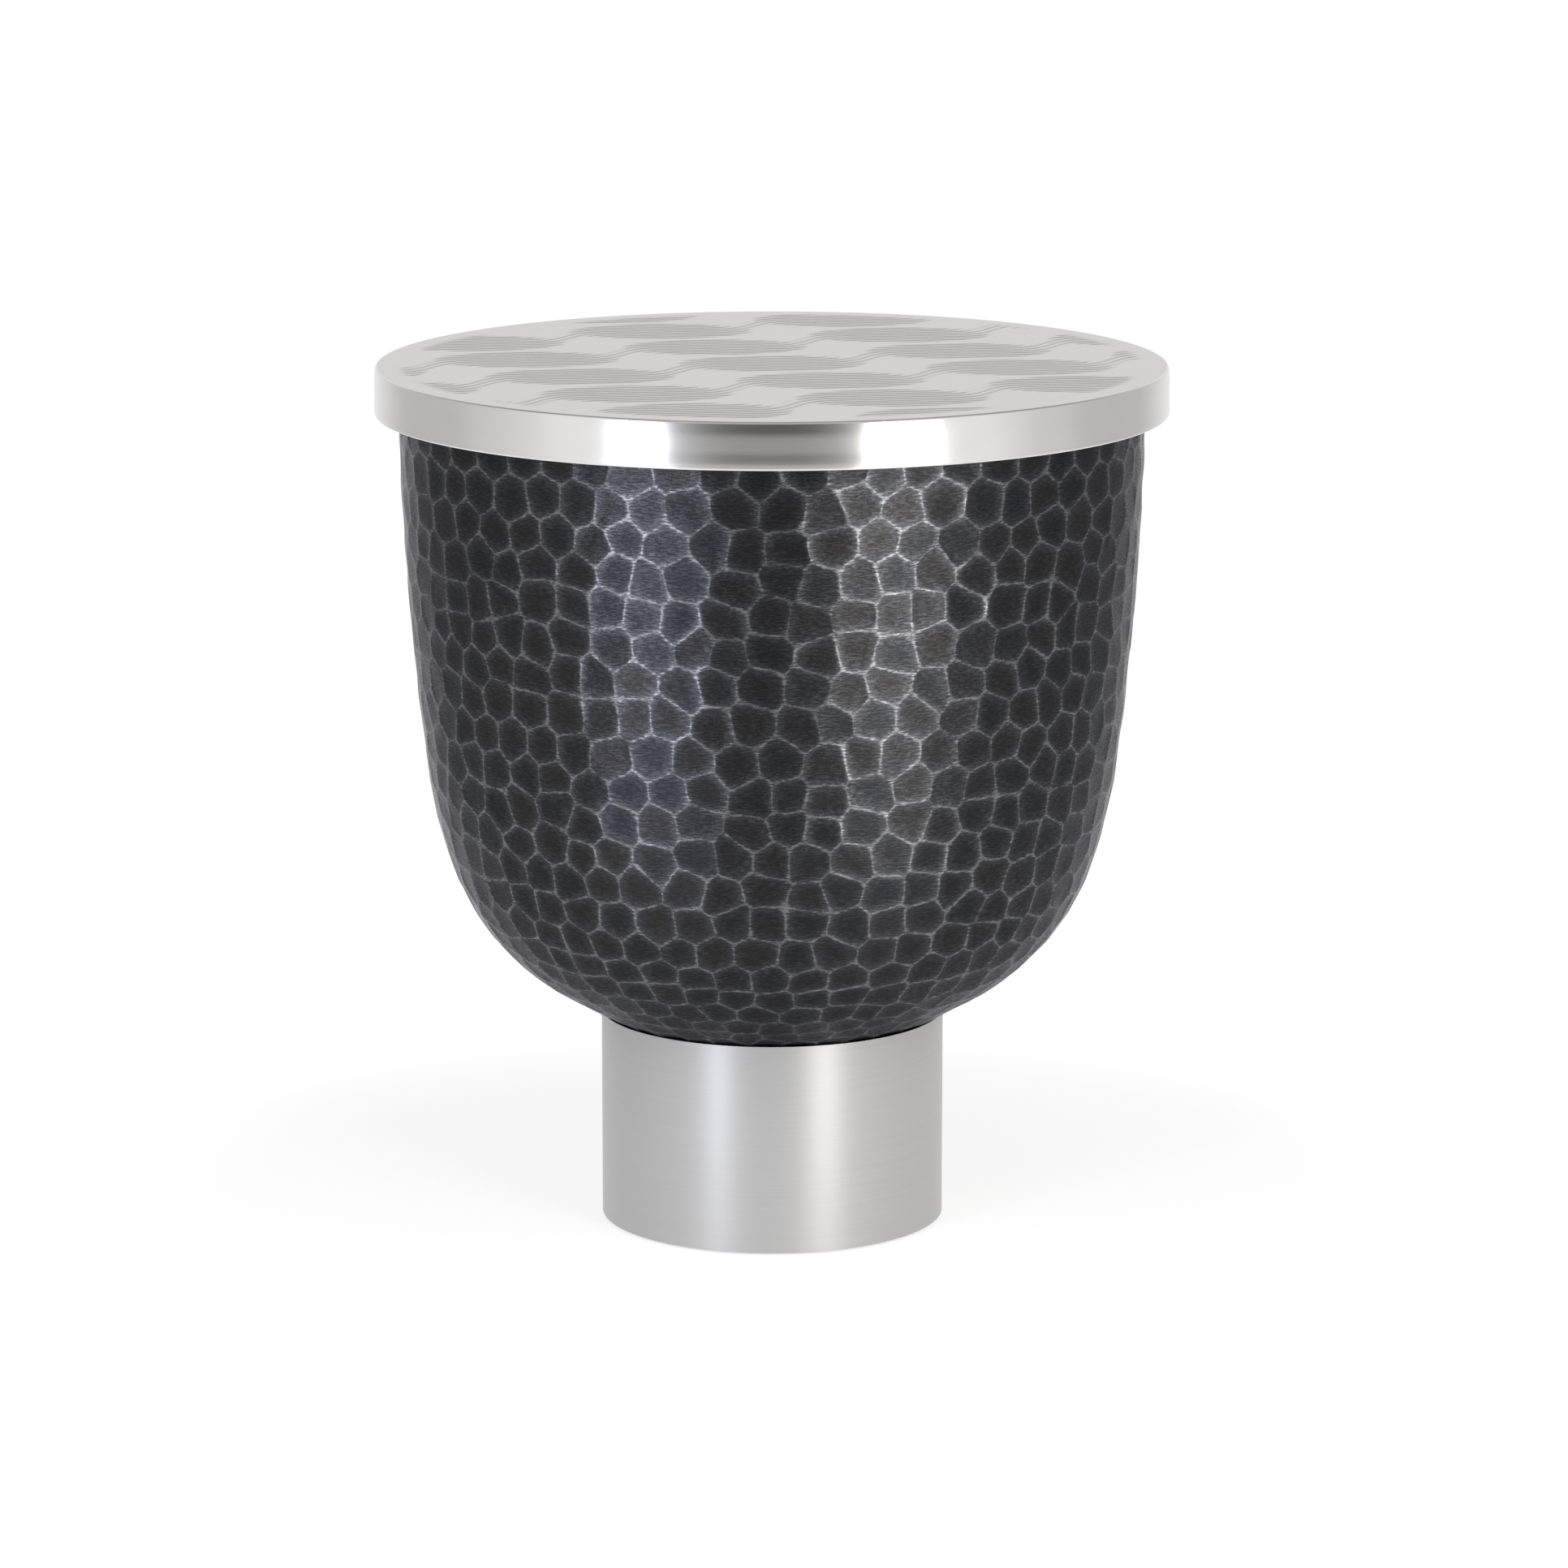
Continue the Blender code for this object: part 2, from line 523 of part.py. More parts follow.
def add_bolted_joint(parent, drill):
    """The clamp plate and its bolts, washers and weld nuts; like pieces share one mesh."""
    steel = finish("zinc_plated_steel", (0.55, 0.56, 0.58), 0.3, 1.0)
    clamp_top = CLAMP_UNDERSIDE + CLAMP_THICKNESS
    plate = disc_profile(CLAMP_RADIUS, CLAMP_UNDERSIDE, clamp_top, CLAMP_CHAMFER)
    cut(add_object("clamp_plate", turned(plate, INNER_TURN_STEPS), steel, parent), drill)
    washer = ring_profile(BOLT_HOLE_RADIUS, WASHER_RADIUS, 0.0, WASHER_THICKNESS)
    washer = shaded_mesh("bolt_washer", turned(washer, SMALL_TURN_STEPS), steel)
    tip = BOLT_TIP - BOLT_SEAT
    bolt = lofted([hexagon_loop(BOLT_HEAD_FLATS, BOLT_HEAD_HEIGHT), hexagon_loop(BOLT_HEAD_FLATS, 0.0),
                   round_loop(BOLT_RADIUS, 0.0), round_loop(BOLT_RADIUS, tip + BOLT_TIP_CHAMFER),
                   round_loop(BOLT_RADIUS - BOLT_TIP_CHAMFER, tip)])
    bolt = shaded_mesh("clamp_bolt", bolt, steel)
    nut = lofted([hexagon_loop(NUT_FLATS, 0.0), hexagon_loop(NUT_FLATS, -NUT_HEIGHT),
                  round_loop(BOLT_HOLE_RADIUS, -NUT_HEIGHT), round_loop(BOLT_HOLE_RADIUS, 0.0)],
                 closed=True)
    nut = shaded_mesh("weld_nut", nut, steel)
    for kind, mesh, height in (("bolt_washer", washer, WASHER_UNDERSIDE),
                               ("clamp_bolt", bolt, BOLT_SEAT), ("weld_nut", nut, NUT_TOP)):
        for number, spot in bolt_places():
            place(f"{kind}_{number}", mesh, parent, spot + Vector((0.0, 0.0, height)))


for old in list(bpy.data.objects):
    bpy.data.objects.remove(old)

table_frame = add_empty("table_frame", 0.0)
lid_frame = add_empty("lid_frame", LID_SEAT)
bolt_drill = add_bolt_drill(table_frame)
add_foot(table_frame, bolt_drill)
add_bowl(table_frame, bolt_drill)
add_bolted_joint(table_frame, bolt_drill)
add_lid(lid_frame)
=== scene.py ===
"""The finished look of a side table: a hammered black bowl on a brushed foot, under a nickel lid.

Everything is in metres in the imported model's own frame, and the sections follow the table as it
is assembled.
"""

import math
import random

import bmesh
import bpy
import numpy as np
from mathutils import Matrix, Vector, noise


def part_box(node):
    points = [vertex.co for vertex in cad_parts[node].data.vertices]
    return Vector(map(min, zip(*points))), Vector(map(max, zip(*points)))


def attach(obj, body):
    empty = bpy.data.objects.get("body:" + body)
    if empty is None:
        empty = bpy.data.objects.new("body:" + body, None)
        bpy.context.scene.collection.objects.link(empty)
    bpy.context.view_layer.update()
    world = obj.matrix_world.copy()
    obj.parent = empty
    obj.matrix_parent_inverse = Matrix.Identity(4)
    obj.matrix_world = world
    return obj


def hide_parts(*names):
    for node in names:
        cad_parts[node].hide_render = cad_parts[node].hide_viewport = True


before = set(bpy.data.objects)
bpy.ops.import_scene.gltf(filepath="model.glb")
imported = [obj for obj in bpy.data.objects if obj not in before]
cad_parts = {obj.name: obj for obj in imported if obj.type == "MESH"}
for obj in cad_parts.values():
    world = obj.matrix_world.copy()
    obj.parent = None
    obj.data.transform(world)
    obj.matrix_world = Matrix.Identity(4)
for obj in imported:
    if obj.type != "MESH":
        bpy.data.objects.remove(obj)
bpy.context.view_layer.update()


# Floor pad
# A disc of pressed grey wool felt, stamped from the sheet and glued under the foot plate, so that
# the table can be pushed about without marking the floor.
PAD_FELT_DARK = (0.050, 0.050, 0.052, 1.0)
PAD_FELT_LIGHT = (0.150, 0.148, 0.145, 1.0)


def add_node(tree, kind, values=None, **settings):
    """A shader node with its settings and the values of the sockets that nothing is linked to."""
    made = tree.nodes.new(kind)
    for name, setting in settings.items():
        setattr(made, name, setting)
    for socket, value in (values or {}).items():
        made.inputs[socket].default_value = value
    return made


def link(tree, source, output, target, socket):
    """Link one node's output to another's socket."""
    tree.links.new(source.outputs[output], target.inputs[socket])


def new_finish(name, roughness, metallic):
    """A material, its node tree, its Principled shader and a node that gives places on the piece."""
    material = bpy.data.materials.new(name)
    material.use_nodes = True
    tree = material.node_tree
    shader = tree.nodes["Principled BSDF"]
    shader.inputs["Roughness"].default_value = roughness
    shader.inputs["Metallic"].default_value = metallic
    return material, tree, shader, add_node(tree, "ShaderNodeTexCoord")


def new_effect(name, inputs, outputs):
    """A shader node group with named sockets; an input is (kind, start value), an output its kind."""
    effect = bpy.data.node_groups.new(name, "ShaderNodeTree")
    for socket, (kind, value) in inputs.items():
        made = effect.interface.new_socket(name=socket, in_out="INPUT", socket_type=kind)
        made.default_value = value
    for socket, kind in outputs.items():
        effect.interface.new_socket(name=socket, in_out="OUTPUT", socket_type=kind)
    return effect, effect.nodes.new("NodeGroupInput"), effect.nodes.new("NodeGroupOutput")


def felt_effect():
    """Matted fibres: a mottled colour and the height of the fibres."""
    effect, given, result = new_effect(
        "felt_fibres",
        {"Place": ("NodeSocketVector", (0.0, 0.0, 0.0)), "Dark": ("NodeSocketColor", PAD_FELT_DARK),
         "Light": ("NodeSocketColor", PAD_FELT_LIGHT)},
        {"Colour": "NodeSocketColor", "Height": "NodeSocketFloat"})
    fibres = add_node(effect, "ShaderNodeTexNoise", {"Scale": 900.0, "Detail": 4.0, "Distortion": 2.5})
    clumps = add_node(effect, "ShaderNodeTexNoise", {"Scale": 160.0, "Detail": 3.0})
    both = add_node(effect, "ShaderNodeMath", {1: 0.45}, operation="MULTIPLY_ADD")
    spread = add_node(effect, "ShaderNodeMapRange", {"From Min": 0.45, "From Max": 1.0})
    tint = add_node(effect, "ShaderNodeMix", data_type="RGBA")
    link(effect, given, "Place", fibres, "Vector")
    link(effect, given, "Place", clumps, "Vector")
    link(effect, clumps, "Fac", both, 0)
    link(effect, fibres, "Fac", both, 2)
    link(effect, both, 0, spread, "Value")
    link(effect, spread, "Result", tint, "Factor")
    link(effect, given, "Dark", tint, "A")
    link(effect, given, "Light", tint, "B")
    link(effect, tint, "Result", result, "Colour")
    link(effect, both, 0, result, "Height")
    return effect


FELT_FIBRES = felt_effect()


def add_relief(tree, target, source, output, strength, distance):
    """Relief on a shader, or on coarser relief, whose height another node gives."""
    relief = add_node(tree, "ShaderNodeBump", {"Strength": strength, "Distance": distance})
    link(tree, source, output, relief, "Height")
    link(tree, relief, "Normal", target, "Normal")
    return relief


def felt_finish(name, dark, light):
    """Pressed felt, matt and a little fuzzy."""
    material, tree, shader, place = new_finish(name, roughness=0.95, metallic=0.0)
    shader.inputs["Sheen Weight"].default_value = 0.25
    fibres = add_node(tree, "ShaderNodeGroup", {"Dark": dark, "Light": light}, node_tree=FELT_FIBRES)
    link(tree, place, "Object", fibres, "Place")
    link(tree, fibres, "Colour", shader, "Base Color")
    add_relief(tree, shader, fibres, "Height", strength=0.5, distance=0.0004)
    return material


def dress(node, material):
    """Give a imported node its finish."""
    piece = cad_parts[node]
    piece.data.materials.clear()
    piece.data.materials.append(material)


dress("floor_pad", felt_finish("grey_felt", PAD_FELT_DARK, PAD_FELT_LIGHT))


# Foot plate and top plate
# Two discs laser-cut from rolled steel plate and welded into the ends of the sleeve. They keep
# their mill finish, because the pad and the bowl hide them.
STEEL_DARK = (0.30, 0.30, 0.31, 1.0)
STEEL_LIGHT = (0.50, 0.50, 0.51, 1.0)


def streak_effect():
    """Long fine marks of rolling, brushing or turning; Stretch is their count per metre each way."""
    effect, given, result = new_effect(
        "tool_streaks",
        {"Place": ("NodeSocketVector", (0.0, 0.0, 0.0)), "Stretch": ("NodeSocketVector", (1.0, 1.0, 1.0))},
        {"Streak": "NodeSocketFloat"})
    stretched = add_node(effect, "ShaderNodeVectorMath", operation="MULTIPLY")
    marks = add_node(effect, "ShaderNodeTexNoise", {"Scale": 1.0, "Detail": 5.0, "Roughness": 0.65})
    spread = add_node(effect, "ShaderNodeMapRange", {"From Min": 0.25, "From Max": 0.75})
    link(effect, given, "Place", stretched, 0)
    link(effect, given, "Stretch", stretched, 1)
    link(effect, stretched, "Vector", marks, "Vector")
    link(effect, marks, "Fac", spread, "Value")
    link(effect, spread, "Result", result, "Streak")
    return effect


TOOL_STREAKS = streak_effect()


def add_streaks(tree, place, stretch):
    """Streaks of a given count per metre along X, Y and Z."""
    streaks = add_node(tree, "ShaderNodeGroup", {"Stretch": stretch}, node_tree=TOOL_STREAKS)
    link(tree, place, "Object", streaks, "Place")
    return streaks


def add_mix(tree, **colours):
    """A mix of two colours, A and B, of which one that isn't given is linked later."""
    return add_node(tree, "ShaderNodeMix", colours, data_type="RGBA")


def add_tint(tree, shader, source, output, dark, light):
    """Colour a finish from dark to light, by the value of another node."""
    tint = add_mix(tree, A=dark, B=light)
    link(tree, source, output, tint, "Factor")
    link(tree, tint, "Result", shader, "Base Color")


def add_range(tree, source, output, low, high):
    """A value from 0 to 1 turned into one from low to high."""
    made = add_node(tree, "ShaderNodeMapRange", {"To Min": low, "To Max": high})
    link(tree, source, output, made, "Value")
    return made


def mill_steel():
    """Rolled steel as it comes from the mill."""
    material, tree, shader, place = new_finish("mill_steel", roughness=0.5, metallic=1.0)
    rolling = add_streaks(tree, place, stretch=(30.0, 700.0, 30.0))
    add_tint(tree, shader, rolling, "Streak", STEEL_DARK, STEEL_LIGHT)
    dull = add_range(tree, rolling, "Streak", low=0.40, high=0.62)
    link(tree, dull, "Result", shader, "Roughness")
    add_relief(tree, shader, rolling, "Streak", strength=0.15, distance=0.0002)
    return material


MILL_STEEL = mill_steel()
dress("foot_plate", MILL_STEEL)
dress("base_top_plate", MILL_STEEL)


# Ballast core
# A plug of cast concrete in the foot, which keeps the table from tipping when someone leans on
# the edge of the lid. Nothing of it shows.
CONCRETE_DARK = (0.36, 0.35, 0.33, 1.0)
CONCRETE_LIGHT = (0.56, 0.55, 0.52, 1.0)


def concrete():
    """Cast concrete with sand and small air holes."""
    material, tree, shader, place = new_finish("concrete", roughness=0.9, metallic=0.0)
    sand = add_node(tree, "ShaderNodeTexNoise", {"Scale": 220.0, "Detail": 6.0})
    holes = add_node(tree, "ShaderNodeTexVoronoi", {"Scale": 90.0})
    link(tree, place, "Object", sand, "Vector")
    link(tree, place, "Object", holes, "Vector")
    add_tint(tree, shader, sand, "Fac", CONCRETE_DARK, CONCRETE_LIGHT)
    add_relief(tree, shader, holes, "Distance", strength=0.4, distance=0.0008)
    return material


dress("ballast_core", concrete())


# Base sleeve
# A short length of steel tube, nickel plated and brushed round with a belt. Its top edge is turned
# to the slope of the bowl, which it carries.
SLEEVE_SIDES = 192
SLEEVE_WALL = 0.002
SLEEVE_TOP_SLOPE = 0.00114      # how much lower the inner edge of the top lies
SLEEVE_EDGE_BREAK = 0.0003
SLEEVE_EDGE_SEGMENTS = 2
SLEEVE_SHARP = math.radians(30.0)
SLEEVE_NICKEL_DARK = (0.518, 0.511, 0.499, 1.0)
SLEEVE_NICKEL_LIGHT = (0.562, 0.555, 0.543, 1.0)
CLOSE = 0.0001                  # a point this near to a place counts as being there


def pick(piece, test):
    """In edit mode, select the vertices that pass a test, and the edges and faces between them."""
    bpy.ops.mesh.select_mode(type="VERT")
    bm = bmesh.from_edit_mesh(piece.data)
    for vert in bm.verts:
        vert.select = test(vert.co)
    bm.select_flush(True)
    bm.select_flush(False)
    bmesh.update_edit_mesh(piece.data)


def on_ring(radius, height):
    """A test for points on a ring about the table's axis."""
    def test(point):
        off_axis = math.hypot(point.x, point.y)
        return abs(off_axis - radius) < CLOSE and abs(point.z - height) < CLOSE
    return test


def apply_modifiers(piece):
    """Apply a piece's modifiers in their order."""
    bpy.context.view_layer.objects.active = piece
    for modifier in list(piece.modifiers):
        bpy.ops.object.modifier_apply(modifier=modifier.name)


def open_tube(name, radius, bottom, top, sides):
    """A tube's wall as a single skin, with its place in its mesh."""
    bpy.ops.object.select_all(action="DESELECT")
    bpy.ops.mesh.primitive_cylinder_add(vertices=sides, radius=radius, depth=top - bottom,
                                        end_fill_type="NOTHING", location=(0.0, 0.0, (top + bottom) / 2.0))
    piece = bpy.context.object
    piece.name = name
    bpy.ops.object.transform_apply(location=True, rotation=True, scale=True)
    return piece


sleeve_low, sleeve_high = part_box("base_sleeve")
sleeve_radius = sleeve_high.x
sleeve = open_tube("brushed_sleeve", sleeve_radius, sleeve_low.z, sleeve_high.z, SLEEVE_SIDES)
sleeve_wall = sleeve.modifiers.new("wall", "SOLIDIFY")
sleeve_wall.thickness = SLEEVE_WALL
sleeve_wall.offset = -1.0
sleeve_wall.use_even_offset = True
apply_modifiers(sleeve)
bpy.ops.object.mode_set(mode="EDIT")
pick(sleeve, on_ring(sleeve_radius - SLEEVE_WALL, sleeve_high.z))
bpy.ops.transform.translate(value=(0.0, 0.0, -SLEEVE_TOP_SLOPE))
for edge_height in (sleeve_high.z, sleeve_low.z):
    pick(sleeve, on_ring(sleeve_radius, edge_height))
    bpy.ops.mesh.bevel(offset=SLEEVE_EDGE_BREAK, segments=SLEEVE_EDGE_SEGMENTS, affect="EDGES")
bpy.ops.object.mode_set(mode="OBJECT")
bpy.ops.object.shade_smooth_by_angle(angle=SLEEVE_SHARP)


def brush_round(tree, shader, strength):
    """Brush a metal round the table's axis, which draws its reflections out up and down."""
    shader.inputs["Anisotropic"].default_value = strength
    shader.inputs["Anisotropic Rotation"].default_value = 0.25
    around = add_node(tree, "ShaderNodeTangent", direction_type="RADIAL", axis="Z")
    link(tree, around, "Tangent", shader, "Tangent")


def brushed_nickel():
    """Nickel brushed round the tube, with a few deeper strokes that catch the light."""
    material, tree, shader, place = new_finish("brushed_nickel", roughness=0.53, metallic=0.5)
    brush_round(tree, shader, strength=0.86)
    brushing = add_streaks(tree, place, stretch=(9.0, 9.0, 900.0))
    strokes = add_streaks(tree, place, stretch=(45.0, 45.0, 420.0))
    add_tint(tree, shader, brushing, "Streak", SLEEVE_NICKEL_DARK, SLEEVE_NICKEL_LIGHT)
    dull = add_range(tree, brushing, "Streak", low=0.50, high=0.56)
    link(tree, dull, "Result", shader, "Roughness")
    deep = add_node(tree, "ShaderNodeMapRange", {"From Min": 0.78, "From Max": 1.0})
    link(tree, strokes, "Streak", deep, "Value")
    coarse = add_relief(tree, shader, deep, "Result", strength=0.10, distance=0.0004)
    add_relief(tree, coarse, brushing, "Streak", strength=0.06, distance=0.0002)
    return material


sleeve.data.materials.append(brushed_nickel())
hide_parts("base_sleeve")
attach(sleeve, "table")


# Weld nuts
# Four steel nuts, bright zinc plated, welded under the top plate so that the bolts can be turned in
# from inside the bowl.
ZINC_DARK = (0.46, 0.47, 0.50, 1.0)
ZINC_LIGHT = (0.66, 0.66, 0.66, 1.0)
BOLTS = (1, 2, 3, 4)


def bright_zinc():
    """Zinc plate, with its faint cloudy spangle."""
    material, tree, shader, place = new_finish("bright_zinc", roughness=0.3, metallic=1.0)
    clouds = add_node(tree, "ShaderNodeTexNoise", {"Scale": 140.0, "Detail": 3.0})
    link(tree, place, "Object", clouds, "Vector")
    add_tint(tree, shader, clouds, "Fac", ZINC_DARK, ZINC_LIGHT)
    dull = add_range(tree, clouds, "Fac", low=0.20, high=0.42)
    link(tree, dull, "Result", shader, "Roughness")
    turning = add_streaks(tree, place, stretch=(60.0, 500.0, 60.0))
    add_relief(tree, shader, turning, "Streak", strength=0.08, distance=0.0002)
    return material


BRIGHT_ZINC = bright_zinc()
for number in BOLTS:
    dress(f"weld_nut_{number}", BRIGHT_ZINC)


# Bowl
# A spun bowl planished all over with a round-faced hammer, blackened, brushed round and rubbed back
# so that bare metal shows along the ridges between the marks; the ridges are also painted lighter as
# a highlight for the light that their rounded crests catch. The inside is left matt, and bolts
# through the floor hold the bowl down.
RIM_DEPTH = 0.004               # the flange's sheet and bend, above the hammered wall
WALL_END = 0.0032               # how far the hammered wall runs on below the sleeve's top
RIDGE_HALF_WIDTH = 0.0012
RIDGE_HEIGHT = 0.00022
RIDGE_WANDER = 0.07             # how far a ridge bows sideways, as a share of its length
WANDER_SCALE = 400.0            # of the noise that bows the ridges, per metre
MARK_HOLLOW = 0.00012
MARK_TILT = math.tan(math.radians(2.1))
MARK_SHADES = (0.05, 1.0)       # from the bluest mark to the brownest; faces without a mark have 0
MARK_SEED = 5
WELD_DISTANCE = 0.00001         # points this near to each other become one
BOWL_SHARP = math.radians(35.0)
QUAD_BEND = math.radians(12.0)  # how far two triangles may bend and skew to be joined in a quad
QUAD_SKEW = math.radians(40.0)
FACET_BLUE = (0.0228, 0.0242, 0.0288, 1.0)
FACET_BROWN = (0.0275, 0.0263, 0.0258, 1.0)
# the hazy edge and ridge colours are lighter partly from wear and partly as painted highlight
FACET_EDGE_HAZE_AND_SHEEN = (0.044, 0.0452, 0.049, 1.0)
RIDGE_BARE_AND_HIGHLIGHT = (0.150, 0.151, 0.155, 1.0)
GRAZING_TINT = (0.62, 0.62, 0.64, 1.0)
INSIDE_DARK = (0.080, 0.080, 0.083, 1.0)
INSIDE_LIGHT = (0.145, 0.143, 0.139, 1.0)


def wall_faces(bm, foot, rim):
    """The faces of the bowl's hammered outside."""
    found = []
    for face in bm.faces:
        middle = face.calc_center_median()
        outward = Vector((middle.x, middle.y, 0.0)).normalized()
        if foot < middle.z < rim and face.normal.dot(outward) - face.normal.z > 0.0:
            found.append(face)
    return found


def mark_middles(faces):
    """The lowest point of each hammer mark, from which its faces run to the ridge round it."""
    wall = set(faces)
    points = sorted({vert for face in faces for vert in face.verts}, key=lambda vert: vert.index)
    hollow = {}
    for vert in points:
        beside = [face for face in vert.link_faces if face in wall]
        upright = sum((face.normal * face.calc_area() for face in beside), Vector()).normalized()
        around = dict.fromkeys(other for face in beside for other in face.verts if other is not vert)
        hollow[vert] = upright.dot(sum((other.co for other in around), Vector()) / len(around) - vert.co)
    lowest = {face: max(face.verts, key=hollow.get) for face in faces}
    inside = [vert for vert in points if wall.issuperset(vert.link_faces)]
    middles = [vert for vert in inside if all(lowest[face] is vert for face in vert.link_faces)]
    taken = {face for vert in middles for face in vert.link_faces}
    middles += [vert for vert in inside if taken.isdisjoint(vert.link_faces)]
    return middles


def beside_mark(edge, layer):
    """Whether a hammer mark lies on either side of an edge."""
    return any(face[layer] > 0.0 for face in edge.link_faces)


bpy.ops.object.select_all(action="DESELECT")
bowl = bpy.data.objects.new("hammered_bowl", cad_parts["bowl"].data.copy())
bpy.context.scene.collection.objects.link(bowl)
bowl.select_set(True)
bpy.context.view_layer.objects.active = bowl
bpy.ops.mesh.customdata_custom_splitnormals_clear()
bpy.ops.object.mode_set(mode="EDIT")
bpy.ops.mesh.select_all(action="SELECT")
bpy.ops.mesh.remove_doubles(threshold=WELD_DISTANCE)
bpy.ops.object.mode_set(mode="OBJECT")

bowl_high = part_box("bowl")[1]
rim_level = bowl_high.z - RIM_DEPTH
foot_level = sleeve_high.z - WALL_END
shell = bmesh.new()
shell.from_mesh(bowl.data)
shell.normal_update()
# ridge is 1 along a crest, 0.5 at its foot and 0 in the middle of a mark
ridge_layer = shell.verts.layers.float.new("ridge")
mark_layer = shell.faces.layers.float.new("mark")
crease_layer = shell.edges.layers.float.new("crease_edge")
hammered = wall_faces(shell, foot_level, rim_level)
middles = mark_middles(hammered)
chance = random.Random(MARK_SEED)
for middle in middles:
    shade = chance.uniform(*MARK_SHADES)
    for face in middle.link_faces:
        face[mark_layer] = shade
plain = [face for face in shell.faces if face[mark_layer] == 0.0]
for edge in shell.edges:
    if edge.calc_face_angle() > BOWL_SHARP and not beside_mark(edge, mark_layer):
        edge[crease_layer] = 1.0
bmesh.ops.join_triangles(shell, faces=plain, angle_face_threshold=QUAD_BEND,
                         angle_shape_threshold=QUAD_SKEW)
bmesh.ops.dissolve_verts(shell, verts=middles)
marks = [face for face in shell.faces if face[mark_layer] > 0.0]
ridges = [edge for edge in shell.edges if beside_mark(edge, mark_layer)]
halves = bmesh.ops.bisect_edges(shell, edges=ridges, cuts=1)
shell.normal_update()
for vert in {item for item in halves["geom_split"] if isinstance(item, bmesh.types.BMVert)}:
    first, second = [edge.other_vert(vert) for edge in vert.link_edges][:2]
    along = second.co - first.co
    sideways = vert.normal.cross(along)
    vert.co += sideways * RIDGE_WANDER * noise.noise(vert.co * WANDER_SCALE)
for vert in {vert for face in marks for vert in face.verts}:
    vert[ridge_layer] = 1.0
bmesh.ops.inset_individual(shell, faces=marks, thickness=RIDGE_HALF_WIDTH, depth=-RIDGE_HEIGHT,
                           use_even_offset=True)
for face in marks:
    middle = face.calc_center_median()
    tilt = Vector([MARK_TILT * chance.uniform(-1.0, 1.0) for _ in range(3)])
    for vert in face.verts:
        vert[ridge_layer] = 0.5
        vert.co += face.normal * tilt.dot(vert.co - middle)
hollows = bmesh.ops.poke(shell, faces=marks, offset=-MARK_HOLLOW, center_mode="MEAN")
for vert in hollows["verts"]:
    vert[ridge_layer] = 0.0
shell.to_mesh(bowl.data)
shell.free()
rounded = bowl.modifiers.new("rounded", "SUBSURF")
rounded.levels = 1
rounded.render_levels = 1
apply_modifiers(bowl)
bpy.ops.object.shade_smooth_by_angle(angle=BOWL_SHARP)


